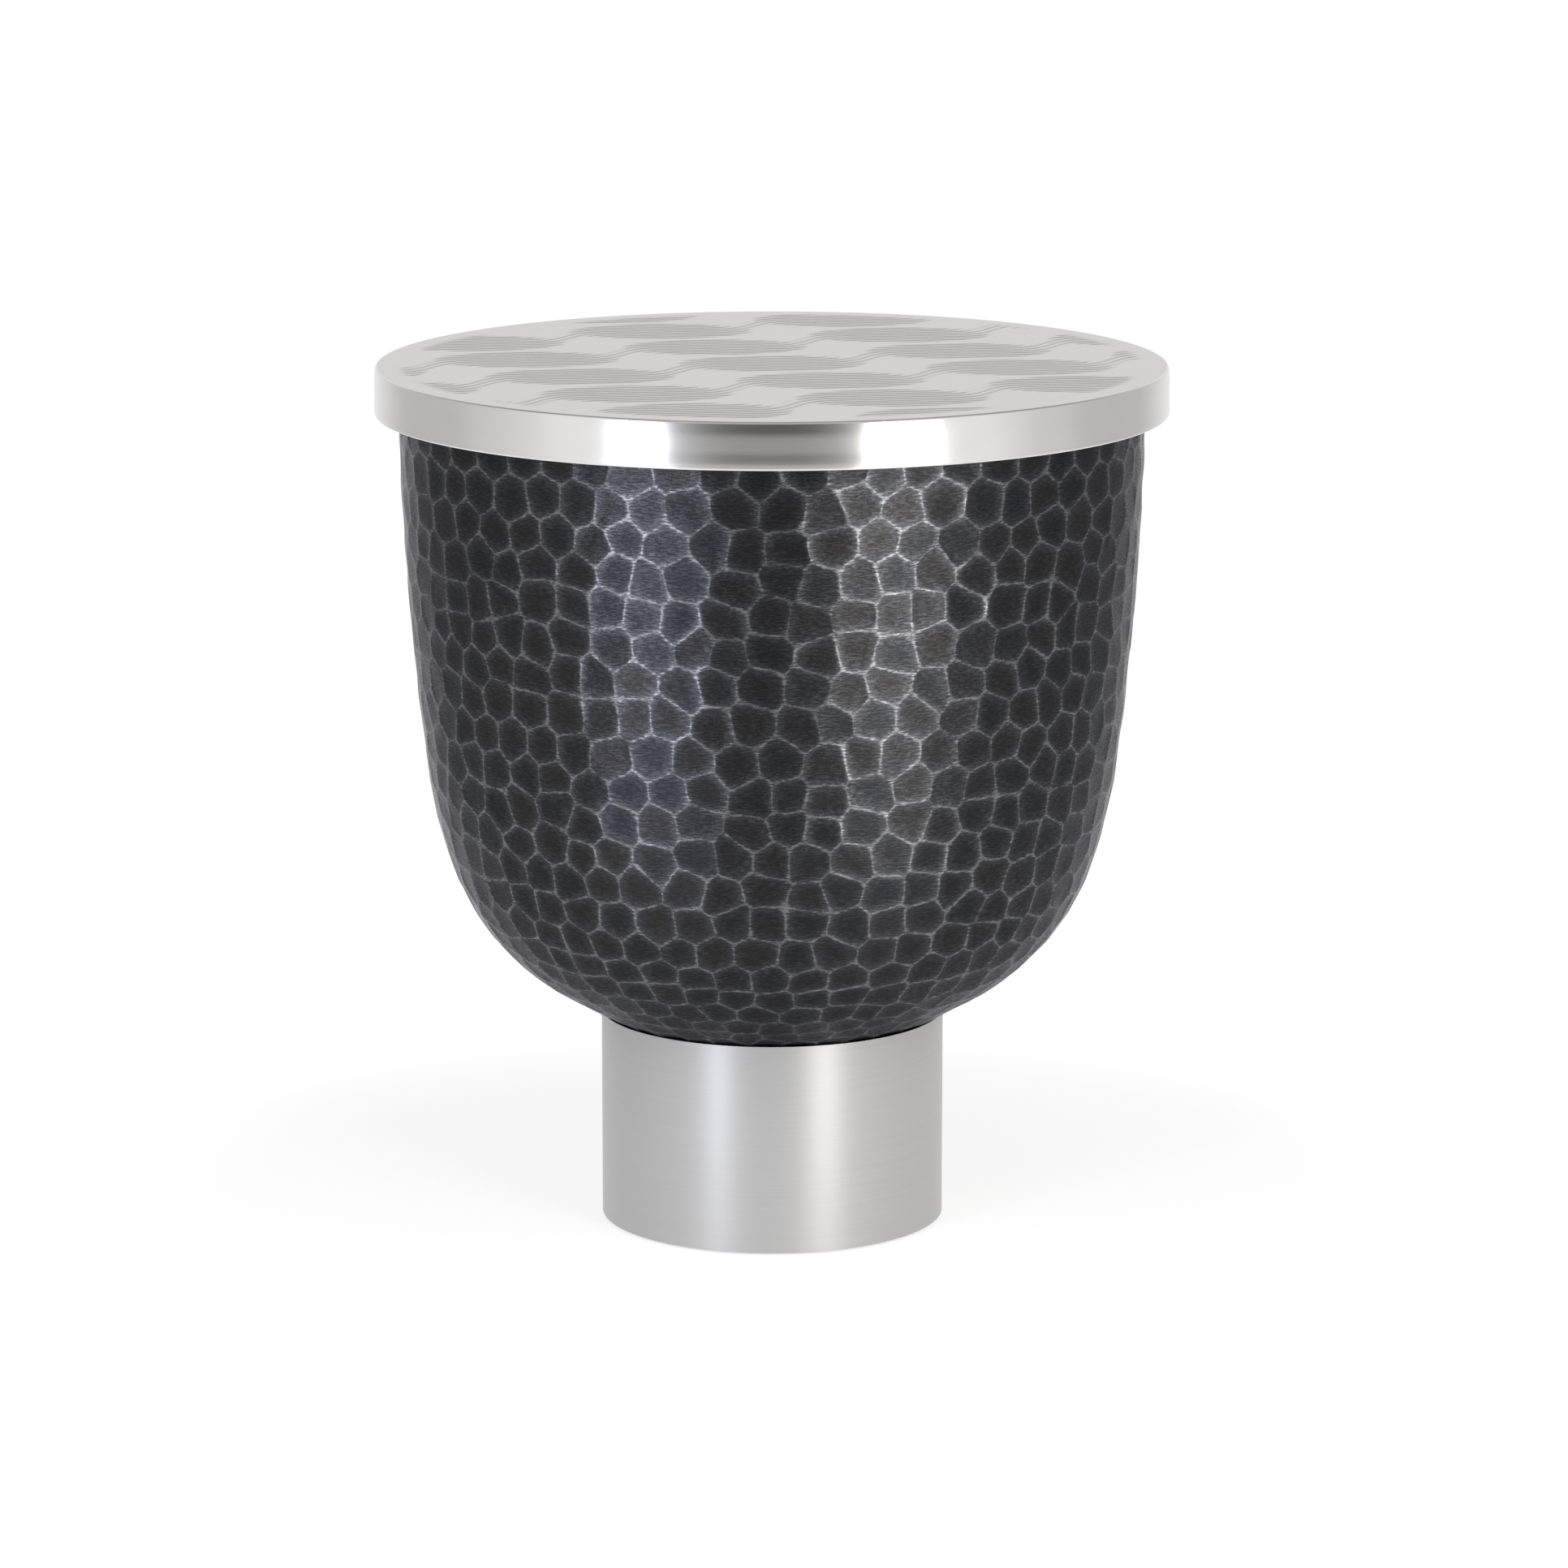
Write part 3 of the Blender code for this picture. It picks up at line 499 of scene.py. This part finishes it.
def blackened_metal():
    """Blackened metal, brushed round, tinted per mark, with ridges of exposed metal and a painted
    highlight.
    """
    material, tree, shader, place = new_finish("blackened_metal", roughness=0.3, metallic=1.0)
    shader.inputs["Specular Tint"].default_value = GRAZING_TINT
    brush_round(tree, shader, strength=0.85)
    mark = add_node(tree, "ShaderNodeAttribute", attribute_name="mark")
    ridge = add_node(tree, "ShaderNodeAttribute", attribute_name="ridge")
    brushing = add_streaks(tree, place, stretch=(130.0, 130.0, 900.0))
    grain = add_streaks(tree, place, stretch=(270.0, 270.0, 1150.0))
    cloud = add_node(tree, "ShaderNodeTexNoise", {"Scale": 60.0, "Detail": 4.0})
    link(tree, place, "Object", cloud, "Vector")
    # wear and painted highlight: least in a mark's middle, most along a crest, and uneven all over
    uneven = add_node(tree, "ShaderNodeMath", {1: 0.5}, operation="MULTIPLY_ADD")
    link(tree, cloud, "Fac", uneven, 0)
    link(tree, ridge, "Fac", uneven, 2)
    wear_and_sheen = add_node(tree, "ShaderNodeMath", {1: 0.5}, operation="MULTIPLY_ADD")
    link(tree, grain, "Streak", wear_and_sheen, 0)
    link(tree, uneven, 0, wear_and_sheen, 2)
    # from a mark's own tint through its hazy edge to the bare crest, flecked by the grain;
    # the lighter edge and crest are partly painted highlight
    facet = add_mix(tree, A=FACET_BLUE, B=FACET_BROWN)
    link(tree, mark, "Fac", facet, "Factor")
    edge_haze_and_sheen = add_node(tree, "ShaderNodeMapRange", {"From Min": 0.60, "From Max": 1.30},
                      interpolation_type="SMOOTHSTEP")
    link(tree, wear_and_sheen, 0, edge_haze_and_sheen, "Value")
    hazy_sheen_colour = add_mix(tree, B=FACET_EDGE_HAZE_AND_SHEEN)
    link(tree, edge_haze_and_sheen, "Result", hazy_sheen_colour, "Factor")
    link(tree, facet, "Result", hazy_sheen_colour, "A")
    bare_and_highlit = add_node(tree, "ShaderNodeMapRange", {"From Min": 1.20, "From Max": 1.62},
                    interpolation_type="SMOOTHSTEP")
    link(tree, wear_and_sheen, 0, bare_and_highlit, "Value")
    colour = add_mix(tree, B=RIDGE_BARE_AND_HIGHLIGHT)
    link(tree, bare_and_highlit, "Result", colour, "Factor")
    link(tree, hazy_sheen_colour, "Result", colour, "A")
    flecks = add_node(tree, "ShaderNodeMapRange", {"From Min": 0.40, "To Min": 0.93, "To Max": 1.52})
    link(tree, grain, "Streak", flecks, "Value")
    flecked = add_node(tree, "ShaderNodeVectorMath", operation="SCALE")
    link(tree, colour, "Result", flecked, 0)
    link(tree, flecks, "Result", flecked, "Scale")
    # the inside and the flange have no marks: they are sooty and matt
    hammered_part = add_node(tree, "ShaderNodeMapRange", {"From Max": 0.04})
    link(tree, mark, "Fac", hammered_part, "Value")
    link(tree, hammered_part, "Result", shader, "Metallic")
    soot = add_mix(tree, A=INSIDE_DARK, B=INSIDE_LIGHT)
    link(tree, cloud, "Fac", soot, "Factor")
    finished = add_mix(tree)
    link(tree, hammered_part, "Result", finished, "Factor")
    link(tree, soot, "Result", finished, "A")
    link(tree, flecked, "Vector", finished, "B")
    link(tree, finished, "Result", shader, "Base Color")
    gloss = add_range(tree, grain, "Streak", low=0.40, high=0.16)
    matt = add_range(tree, grain, "Streak", low=0.62, high=0.52)
    dull = add_node(tree, "ShaderNodeMix", data_type="FLOAT")
    link(tree, hammered_part, "Result", dull, "Factor")
    link(tree, matt, "Result", dull, "A")
    link(tree, gloss, "Result", dull, "B")
    link(tree, dull, "Result", shader, "Roughness")
    pits = add_relief(tree, shader, grain, "Streak", strength=0.3, distance=0.0002)
    add_relief(tree, pits, brushing, "Streak", strength=0.5, distance=0.0003)
    return material


bowl.data.materials.clear()
bowl.data.materials.append(blackened_metal())
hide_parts("bowl")
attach(bowl, "table")


# Clamp plate, washers and bolts
# A thick zinc-plated disc inside the bowl spreads the load of four hexagon bolts, which clamp the
# bowl's floor to the foot.
dress("clamp_plate", BRIGHT_ZINC)
for number in BOLTS:
    dress(f"bolt_washer_{number}", BRIGHT_ZINC)
    dress(f"clamp_bolt_{number}", BRIGHT_ZINC)


# Lid cap
# A shallow cap spun from sheet, with its lower edge folded in as a hem, etched on top with fields of
# ripple lines and nickel plated. The rim is polished and the top left satin.
LID_SIDES = 256
LID_SHEET = 0.0015
LID_EDGE_RADIUS = 0.0011
LID_EDGE_SEGMENTS = 6
LID_EDGE_GAP = 0.0005           # from the rounded edge to the satin top
LID_SHARP = math.radians(35.0)
RIM_STEPS = 20                  # rings of faces up the rim
HEM_HEIGHT = 0.0084
HEM_ROUND = 0.0036              # height over which its lower edge rounds under
HEM_FOOT_LEAN = math.radians(-9.0)
HEM_LEAN = math.radians(1.4)    # just above the rounded edge
HEM_TOP_LEAN = math.radians(1.9)
HEM_THICKNESS = 0.0033
HEM_EDGE_RADIUS = 0.0007
HEM_EDGE_SEGMENTS = 2
SHOULDER_HEIGHT = 0.009         # where the rim rounds over below the top
SHOULDER_LEAN = math.radians(8.0)
ETCH_MARGIN = 0.0075            # plain border inside the rim
ETCH_SLACK = 0.0013             # between the last etched faces and the border
LINE_PITCH = 0.0070
LINE_DEPTH = 0.00060
LINE_SHARPNESS = 2.0            # 1 for an even ripple; more makes narrow lines between broad ridges
LINE_SAMPLES = 10               # points across a line and its ridge
LINE_STEP = 0.0028              # between points along a line
LINE_TURN = math.radians(26.0)  # the lines' main direction, from X
SWAY = 0.0105                   # how far a line swings to each side
SWAY_SKEW = 0.50                # 0 for an even wave; more makes it rise faster than it falls
SWAY_LENGTH = 0.119
ROW_PITCH = 0.075               # from one row of fields to the next
FIELD_TURN = math.radians(3.0)  # a field's length, from X
FIELD_LENGTH = 0.057            # half length of a field
FIELD_WIDTH = 0.034             # and half width
FIELD_EDGE = 0.12               # share of a field over which its lines fade out
LINK_WIDTH = 0.013              # half width of the band of lines that runs on from field to field
LINK_DEPTH = 0.9                # depth of those lines, as a share of the others
GROUND_DEPTH = 0.12             # and of the lines between the fields
NICKEL_DARK = (0.66, 0.65, 0.635, 1.0)
NICKEL_LIGHT = (0.74, 0.73, 0.715, 1.0)
NICKEL_ETCHED = (0.41, 0.405, 0.395, 1.0)


def smooth_step(value):
    """0 below 0, 1 above 1, and a soft step between."""
    value = np.clip(value, 0.0, 1.0)
    return value * value * (3.0 - 2.0 * value)


def etching(along, across, line):
    """How deep the etching is, from 0 to 1, at a place on the lines' own grid."""
    cut = (0.5 + 0.5 * np.cos(math.tau * line / LINE_PITCH)) ** LINE_SHARPNESS
    off_along = along - np.round(along / SWAY_LENGTH) * SWAY_LENGTH
    off_across = across - np.round(across / ROW_PITCH) * ROW_PITCH
    turn = FIELD_TURN - LINE_TURN
    lengthwise = off_along * math.cos(turn) + off_across * math.sin(turn)
    sideways = off_across * math.cos(turn) - off_along * math.sin(turn)
    field = 1.0 - np.hypot(lengthwise / FIELD_LENGTH, sideways / FIELD_WIDTH)
    off_row = line - np.round(line / ROW_PITCH) * ROW_PITCH
    linked = LINK_DEPTH * smooth_step(2.0 - 2.0 * np.abs(off_row) / LINK_WIDTH)
    return cut * np.maximum(np.maximum(smooth_step(field / FIELD_EDGE), linked), GROUND_DEPTH)


def add_etched_field(radius, level):
    """A sheet of faces laid along the etched lines, trimmed to a round field."""
    half = radius + 2.0 * SWAY
    rows = round(2.0 * half / LINE_PITCH * LINE_SAMPLES)
    columns = round(2.0 * half / LINE_STEP)
    bpy.ops.object.select_all(action="DESELECT")
    bpy.ops.mesh.primitive_grid_add(x_subdivisions=columns, y_subdivisions=rows, size=2.0 * half)
    field = bpy.context.object
    points = np.empty(len(field.data.vertices) * 3, np.float32)
    field.data.vertices.foreach_get("co", points)
    along, line, _ = points.reshape(-1, 3).T
    swing = math.tau * along / SWAY_LENGTH
    across = line - SWAY * np.sin(swing - SWAY_SKEW * np.sin(swing))
    x = along * math.cos(LINE_TURN) - across * math.sin(LINE_TURN)
    y = along * math.sin(LINE_TURN) + across * math.cos(LINE_TURN)
    border = smooth_step((radius - np.hypot(x, y)) / ETCH_MARGIN)
    etch = etching(along, across, line) * border
    height = level - LINE_DEPTH * etch
    field.data.vertices.foreach_set("co", np.stack([x, y, height], 1).astype(np.float32).ravel())
    field.data.attributes.new("etch", "FLOAT", "POINT").data.foreach_set("value", etch.astype(np.float32))
    bpy.ops.object.mode_set(mode="EDIT")
    pick(field, lambda point: math.hypot(point.x, point.y) > radius)
    bpy.ops.mesh.delete(type="VERT")
    bpy.ops.object.mode_set(mode="OBJECT")
    return field


def extrude_ring(from_radius, to_radius, rise):
    """Extrude the selected ring of edges to another radius and height."""
    scale = to_radius / from_radius
    bpy.ops.mesh.extrude_region_move(TRANSFORM_OT_translate={"value": (0.0, 0.0, rise)})
    bpy.ops.transform.resize(value=(scale, scale, 1.0), center_override=(0.0, 0.0, 0.0))


def rim_outline(radius, height):
    """The radius at each ring up the rim, from how far it leans in from upright there."""
    step = height / RIM_STEPS
    rings = np.linspace(0.0, height, RIM_STEPS + 1)
    heights = (0.0, HEM_ROUND, HEM_HEIGHT, HEM_HEIGHT + step, height - SHOULDER_HEIGHT, height)
    leans = (HEM_FOOT_LEAN, HEM_LEAN, HEM_TOP_LEAN, 0.0, 0.0, SHOULDER_LEAN)
    slopes = np.tan(np.interp(rings, heights, leans))
    inwards = np.append(0.0, np.cumsum((slopes[1:] + slopes[:-1]) / 2.0)) * step
    return [float(radius - depth) for depth in inwards - inwards.min()]


lid_low, lid_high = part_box("lid_cap")
lid_radius = lid_high.x
hem_radius = lid_radius - HEM_THICKNESS
inner_radius = lid_radius - LID_SHEET
rim_height = lid_high.z - lid_low.z
rim_step = rim_height / RIM_STEPS
rim_radii = rim_outline(lid_radius, rim_height)
foot_radius = rim_radii[0]
edge_radius = rim_radii[-1]
border_radius = edge_radius - LID_EDGE_RADIUS - LID_EDGE_GAP
lid = open_tube("etched_lid", foot_radius, lid_low.z, lid_low.z + rim_step, LID_SIDES)
bpy.ops.object.mode_set(mode="EDIT")
pick(lid, on_ring(foot_radius, lid_low.z + rim_step))
second_ring = rim_radii[1] / foot_radius
bpy.ops.transform.resize(value=(second_ring, second_ring, 1.0), center_override=(0.0, 0.0, 0.0))
for lower, upper in zip(rim_radii[1:], rim_radii[2:]):
    extrude_ring(lower, upper, rim_step)
extrude_ring(edge_radius, border_radius - ETCH_MARGIN, 0.0)
pick(lid, on_ring(foot_radius, lid_low.z))
extrude_ring(foot_radius, hem_radius, 0.0)
extrude_ring(hem_radius, hem_radius, HEM_HEIGHT)
extrude_ring(hem_radius, inner_radius, HEM_THICKNESS - LID_SHEET)
inside_rise = lid_high.z - LID_SHEET - (lid_low.z + HEM_HEIGHT + HEM_THICKNESS - LID_SHEET)
extrude_ring(inner_radius, inner_radius, inside_rise)
bpy.ops.mesh.edge_face_add()
pick(lid, on_ring(edge_radius, lid_high.z))
bpy.ops.mesh.bevel(offset=LID_EDGE_RADIUS, segments=LID_EDGE_SEGMENTS, affect="EDGES")
for hem_edge in (foot_radius, hem_radius):
    pick(lid, on_ring(hem_edge, lid_low.z))
    bpy.ops.mesh.bevel(offset=HEM_EDGE_RADIUS, segments=HEM_EDGE_SEGMENTS, affect="EDGES")
bpy.ops.object.mode_set(mode="OBJECT")
etched = add_etched_field(border_radius - ETCH_MARGIN - ETCH_SLACK, lid_high.z)
bpy.ops.object.select_all(action="DESELECT")
etched.select_set(True)
lid.select_set(True)
bpy.context.view_layer.objects.active = lid
bpy.ops.object.join()
bpy.ops.object.mode_set(mode="EDIT")
bpy.ops.mesh.select_mode(type="EDGE")
bpy.ops.mesh.select_all(action="DESELECT")
bpy.ops.mesh.select_non_manifold(extend=False, use_wire=False, use_boundary=True, use_multi_face=False,
                                 use_non_contiguous=False, use_verts=False)
bpy.ops.mesh.fill(use_beauty=True)
bpy.ops.mesh.select_all(action="SELECT")
bpy.ops.mesh.normals_make_consistent(inside=False)
bpy.ops.object.mode_set(mode="OBJECT")
bpy.ops.object.shade_smooth_by_angle(angle=LID_SHARP)
true_faces = lid.modifiers.new("true_faces", "WEIGHTED_NORMAL")
true_faces.keep_sharp = True
apply_modifiers(lid)


def polished_nickel():
    """Nickel plate: a polished rim with faint spinning lines, and a satin top."""
    material, tree, shader, place = new_finish("polished_nickel", roughness=0.15, metallic=1.0)
    spinning = add_streaks(tree, place, stretch=(12.0, 12.0, 600.0))
    clouds = add_node(tree, "ShaderNodeTexNoise", {"Scale": 25.0, "Detail": 3.0})
    link(tree, place, "Object", clouds, "Vector")
    tint = add_mix(tree, A=NICKEL_DARK, B=NICKEL_LIGHT)
    link(tree, clouds, "Fac", tint, "Factor")
    # the colour is darker in the deep part of the etched lines
    etch = add_node(tree, "ShaderNodeAttribute", attribute_name="etch")
    deep = add_node(tree, "ShaderNodeMapRange", {"From Min": 0.30}, interpolation_type="SMOOTHSTEP")
    link(tree, etch, "Fac", deep, "Value")
    darker_in_lines = add_mix(tree, B=NICKEL_ETCHED)
    link(tree, deep, "Result", darker_in_lines, "Factor")
    link(tree, tint, "Result", darker_in_lines, "A")
    link(tree, darker_in_lines, "Result", shader, "Base Color")
    # the roughness changes from the satin top to the polished rim
    level = add_node(tree, "ShaderNodeVectorMath", {1: (1.0, 1.0, 0.0)}, operation="MULTIPLY")
    off_axis = add_node(tree, "ShaderNodeVectorMath", operation="LENGTH")
    link(tree, place, "Object", level, 0)
    link(tree, level, "Vector", off_axis, 0)
    on_top = add_node(tree, "ShaderNodeMapRange", {"From Min": border_radius, "From Max": edge_radius,
                                                   "To Min": 0.29, "To Max": 0.12})
    link(tree, off_axis, "Value", on_top, "Value")
    dull = add_node(tree, "ShaderNodeMath", {1: 0.05}, operation="MULTIPLY_ADD")
    link(tree, clouds, "Fac", dull, 0)
    link(tree, on_top, "Result", dull, 2)
    link(tree, dull, 0, shader, "Roughness")
    add_relief(tree, shader, spinning, "Streak", strength=0.03, distance=0.0002)
    return material


lid.data.materials.clear()
lid.data.materials.append(polished_nickel())
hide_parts("lid_cap")
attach(lid, "lid")


# Lid board
# A disc of fibreboard glued inside the cap, which keeps the thin top from drumming and denting. Its
# underside is the inside of the lid.
BOARD_DARK = (0.30, 0.205, 0.12, 1.0)
BOARD_LIGHT = (0.47, 0.345, 0.22, 1.0)


def fibreboard():
    """Bare fibreboard: short matted wood fibres."""
    material, tree, shader, place = new_finish("fibreboard", roughness=0.8, metallic=0.0)
    fibres = add_node(tree, "ShaderNodeTexNoise", {"Scale": 420.0, "Detail": 6.0, "Distortion": 1.8})
    link(tree, place, "Object", fibres, "Vector")
    add_tint(tree, shader, fibres, "Fac", BOARD_DARK, BOARD_LIGHT)
    add_relief(tree, shader, fibres, "Fac", strength=0.2, distance=0.0003)
    return material


dress("lid_board", fibreboard())


# Lid seat
# A ring of black felt glued under the board, on which the lid sits on the bowl's flange without a
# rattle.
SEAT_FELT_DARK = (0.010, 0.010, 0.011, 1.0)
SEAT_FELT_LIGHT = (0.045, 0.045, 0.047, 1.0)
dress("lid_seat_felt", felt_finish("black_felt", SEAT_FELT_DARK, SEAT_FELT_LIGHT))


# Studio
# A white floor and surround, two softboxes in front to the left and right, and a camera at the
# height and distance from which the table was photographed.
FLOOR_RADIUS = 1.3
FLOOR_SIDES = 128
FLOOR_PAINT = (0.9, 0.9, 0.9, 1.0)
FLOOR_GAP = 0.0002              # below the felt, so that the two faces don't fight
FLOOR_GLOW = 0.36               # share of the floor that glows by the table and takes no shadow
GLOW_REACH = (0.3, 0.9)         # from where to where that share grows to the whole
GLOW_STRENGTH = (1.78, 1.08)    # of the glowing share, by the table and far from it
SOFTBOX_FOOT = (0.95, 0.03)     # the lower edge of a softbox, out from the table and above the floor
SOFTBOX_HEAD = (1.29, 0.64)     # and its upper edge, low enough not to glare on the top from behind
SOFTBOX_RADIANCE = 9.5
# each softbox's name, its turn from the camera's side, its width and its colour
SOFTBOXES = (("left_softbox", math.radians(-34.6), 0.205, (0.97, 1.02, 1.20)),
             ("right_softbox", math.radians(33.6), 0.32, (1.0, 0.985, 0.96)))
# the share of the way from the back round to the camera's side, and the surround's brightness there
# below the horizon, at it and above it
SURROUND = ((0.00, 0.92, 0.92, 0.92), (0.20, 0.64, 0.64, 0.64), (0.36, 0.66, 0.66, 0.66),
            (0.52, 0.80, 0.80, 0.80), (0.74, 1.05, 1.05, 1.05), (0.88, 0.96, 0.95, 1.00),
            (0.945, 0.66, 0.42, 0.80), (1.00, 0.60, 0.125, 0.78))
# sines of the elevations between which the surround goes from below to at the horizon, then to above
# it, and between which it dims overhead
SURROUND_DIP = (math.sin(math.radians(-12.5)), math.sin(math.radians(-3.0)))
SURROUND_RISE = (math.sin(math.radians(7.5)), math.sin(math.radians(12.5)))
CEILING = (math.sin(math.radians(18.0)), math.sin(math.radians(48.0)))
CEILING_LEVEL = 0.55
CAMERA_PLACE = (0.0068, -3.638, 1.007)
CAMERA_PITCH = math.radians(78.28)
CAMERA_LENS = 148.7
CAMERA_SENSOR = 36.0

scene = bpy.context.scene
scene.view_settings.view_transform = "Standard"
bpy.ops.object.select_all(action="DESELECT")
bpy.ops.mesh.primitive_circle_add(vertices=FLOOR_SIDES, radius=FLOOR_RADIUS, fill_type="NGON",
                                  location=(0.0, 0.0, -FLOOR_GAP))
floor = bpy.context.object
floor.name = "studio_floor"


def seen_directly(tree):
    """1 for rays from the camera, from glossy surfaces and through clear ones, and 0 for the rest."""
    paths = add_node(tree, "ShaderNodeLightPath")
    first = add_node(tree, "ShaderNodeMath", operation="MAXIMUM")
    second = add_node(tree, "ShaderNodeMath", operation="MAXIMUM")
    link(tree, paths, "Is Camera Ray", first, 0)
    link(tree, paths, "Is Glossy Ray", first, 1)
    link(tree, first, 0, second, 0)
    link(tree, paths, "Is Transmission Ray", second, 1)
    return second


def white_floor():
    """A white floor that glows where it is seen from above, but takes the table's shadow close by."""
    material = bpy.data.materials.new("white_floor")
    material.use_nodes = True
    tree = material.node_tree
    tree.nodes.clear()
    result = add_node(tree, "ShaderNodeOutputMaterial")
    paint = add_node(tree, "ShaderNodeBsdfDiffuse", {"Color": FLOOR_PAINT})
    glow = add_node(tree, "ShaderNodeEmission", {"Color": (1.0, 1.0, 1.0, 1.0)})
    place = add_node(tree, "ShaderNodeTexCoord")
    away = add_node(tree, "ShaderNodeVectorMath", operation="LENGTH")
    share = add_node(tree, "ShaderNodeMapRange", {"From Min": GLOW_REACH[0], "From Max": GLOW_REACH[1],
                                                  "To Min": FLOOR_GLOW, "To Max": 1.0},
                     interpolation_type="SMOOTHSTEP")
    strength = add_node(tree, "ShaderNodeMapRange", {"From Min": FLOOR_GLOW, "To Min": GLOW_STRENGTH[0],
                                                     "To Max": GLOW_STRENGTH[1]})
    link(tree, share, "Result", strength, "Value")
    link(tree, strength, "Result", glow, "Strength")
    direct = seen_directly(tree)
    both = add_node(tree, "ShaderNodeMath", operation="MULTIPLY")
    mixed = add_node(tree, "ShaderNodeMixShader")
    link(tree, place, "Object", away, 0)
    link(tree, away, "Value", share, "Value")
    link(tree, share, "Result", both, 0)
    link(tree, direct, 0, both, 1)
    link(tree, both, 0, mixed, 0)
    link(tree, paint, 0, mixed, 1)
    link(tree, glow, 0, mixed, 2)
    side = add_node(tree, "ShaderNodeNewGeometry")
    clear = add_node(tree, "ShaderNodeBsdfTransparent")
    from_below = add_node(tree, "ShaderNodeMixShader")
    link(tree, side, "Backfacing", from_below, 0)
    link(tree, mixed, 0, from_below, 1)
    link(tree, clear, 0, from_below, 2)
    link(tree, from_below, 0, result, "Surface")
    return material


floor.data.materials.append(white_floor())


def add_surround(tree, column):
    """One column of the surround's brightness, from the back round to the camera's side."""
    ramp = add_node(tree, "ShaderNodeValToRGB")
    ramp.color_ramp.interpolation = "EASE"
    stops = ramp.color_ramp.elements
    while len(stops) < len(SURROUND):
        stops.new(0.5)
    for stop, row in zip(stops, SURROUND):
        stop.position = row[0]
        stop.color = (row[column], row[column], row[column], 1.0)
    return ramp


def studio_surround():
    """A surround that is white to the camera, and to the table pale but dim behind the camera."""
    world = bpy.data.worlds.new("studio_surround")
    world.use_nodes = True
    tree = world.node_tree
    tree.nodes.clear()
    result = add_node(tree, "ShaderNodeOutputWorld")
    white = add_node(tree, "ShaderNodeBackground", {"Color": (1.0, 1.0, 1.0, 1.0), "Strength": 1.0})
    pale = add_node(tree, "ShaderNodeBackground", {"Strength": 1.0})
    place = add_node(tree, "ShaderNodeTexCoord")
    split = add_node(tree, "ShaderNodeSeparateXYZ")
    flat = add_node(tree, "ShaderNodeVectorMath", {1: (1.0, 1.0, 0.0)}, operation="MULTIPLY")
    heading = add_node(tree, "ShaderNodeVectorMath", operation="NORMALIZE")
    ahead = add_node(tree, "ShaderNodeSeparateXYZ")
    round_share = add_node(tree, "ShaderNodeMapRange", {"From Min": 1.0, "From Max": -1.0})
    below, level, above = [add_surround(tree, column) for column in (1, 2, 3)]
    dip = add_node(tree, "ShaderNodeMapRange", {"From Min": SURROUND_DIP[0],
                                                "From Max": SURROUND_DIP[1]})
    rise = add_node(tree, "ShaderNodeMapRange", {"From Min": SURROUND_RISE[0],
                                                 "From Max": SURROUND_RISE[1]})
    lower = add_mix(tree)
    both = add_mix(tree)
    ceiling = add_node(tree, "ShaderNodeMapRange", {"From Min": CEILING[0], "From Max": CEILING[1],
                                                    "To Min": 1.0, "To Max": CEILING_LEVEL})
    dimmed = add_node(tree, "ShaderNodeVectorMath", operation="SCALE")
    paths = add_node(tree, "ShaderNodeLightPath")
    mixed = add_node(tree, "ShaderNodeMixShader")
    link(tree, place, "Generated", split, "Vector")
    link(tree, place, "Generated", flat, 0)
    link(tree, flat, "Vector", heading, 0)
    link(tree, heading, "Vector", ahead, "Vector")
    link(tree, ahead, "Y", round_share, "Value")
    for tier, mix, socket in ((below, lower, "A"), (level, lower, "B"), (above, both, "B")):
        link(tree, round_share, "Result", tier, "Fac")
        link(tree, tier, "Color", mix, socket)
    link(tree, split, "Z", dip, "Value")
    link(tree, split, "Z", rise, "Value")
    link(tree, dip, "Result", lower, "Factor")
    link(tree, rise, "Result", both, "Factor")
    link(tree, lower, "Result", both, "A")
    link(tree, split, "Z", ceiling, "Value")
    link(tree, both, "Result", dimmed, "Vector")
    link(tree, ceiling, "Result", dimmed, "Scale")
    link(tree, dimmed, "Vector", pale, "Color")
    link(tree, paths, "Is Camera Ray", mixed, 0)
    link(tree, pale, 0, mixed, 1)
    link(tree, white, 0, mixed, 2)
    link(tree, mixed, 0, result, "Surface")
    return world


scene.world = studio_surround()

softbox_out = (SOFTBOX_FOOT[0] + SOFTBOX_HEAD[0]) / 2.0
softbox_up = (SOFTBOX_FOOT[1] + SOFTBOX_HEAD[1]) / 2.0
softbox_lean = math.atan2(SOFTBOX_HEAD[0] - SOFTBOX_FOOT[0], SOFTBOX_HEAD[1] - SOFTBOX_FOOT[1])
softbox_length = math.dist(SOFTBOX_FOOT, SOFTBOX_HEAD)
for name, azimuth, width, colour in SOFTBOXES:
    lamp = bpy.data.lights.new(name, "AREA")
    lamp.shape = "RECTANGLE"
    lamp.size = width
    lamp.size_y = softbox_length
    lamp.energy = SOFTBOX_RADIANCE * width * softbox_length * math.pi
    lamp.color = colour
    softbox = bpy.data.objects.new(name, lamp)
    scene.collection.objects.link(softbox)
    softbox.location = (softbox_out * math.sin(azimuth), -softbox_out * math.cos(azimuth), softbox_up)
    softbox.rotation_euler = (math.radians(90.0) + softbox_lean, 0.0, azimuth)
    softbox.visible_camera = False

lens = bpy.data.cameras.new("studio_camera")
lens.lens = CAMERA_LENS
lens.sensor_width = CAMERA_SENSOR
camera = bpy.data.objects.new("studio_camera", lens)
scene.collection.objects.link(camera)
camera.location = CAMERA_PLACE
camera.rotation_euler = (CAMERA_PITCH, 0.0, 0.0)
scene.camera = camera
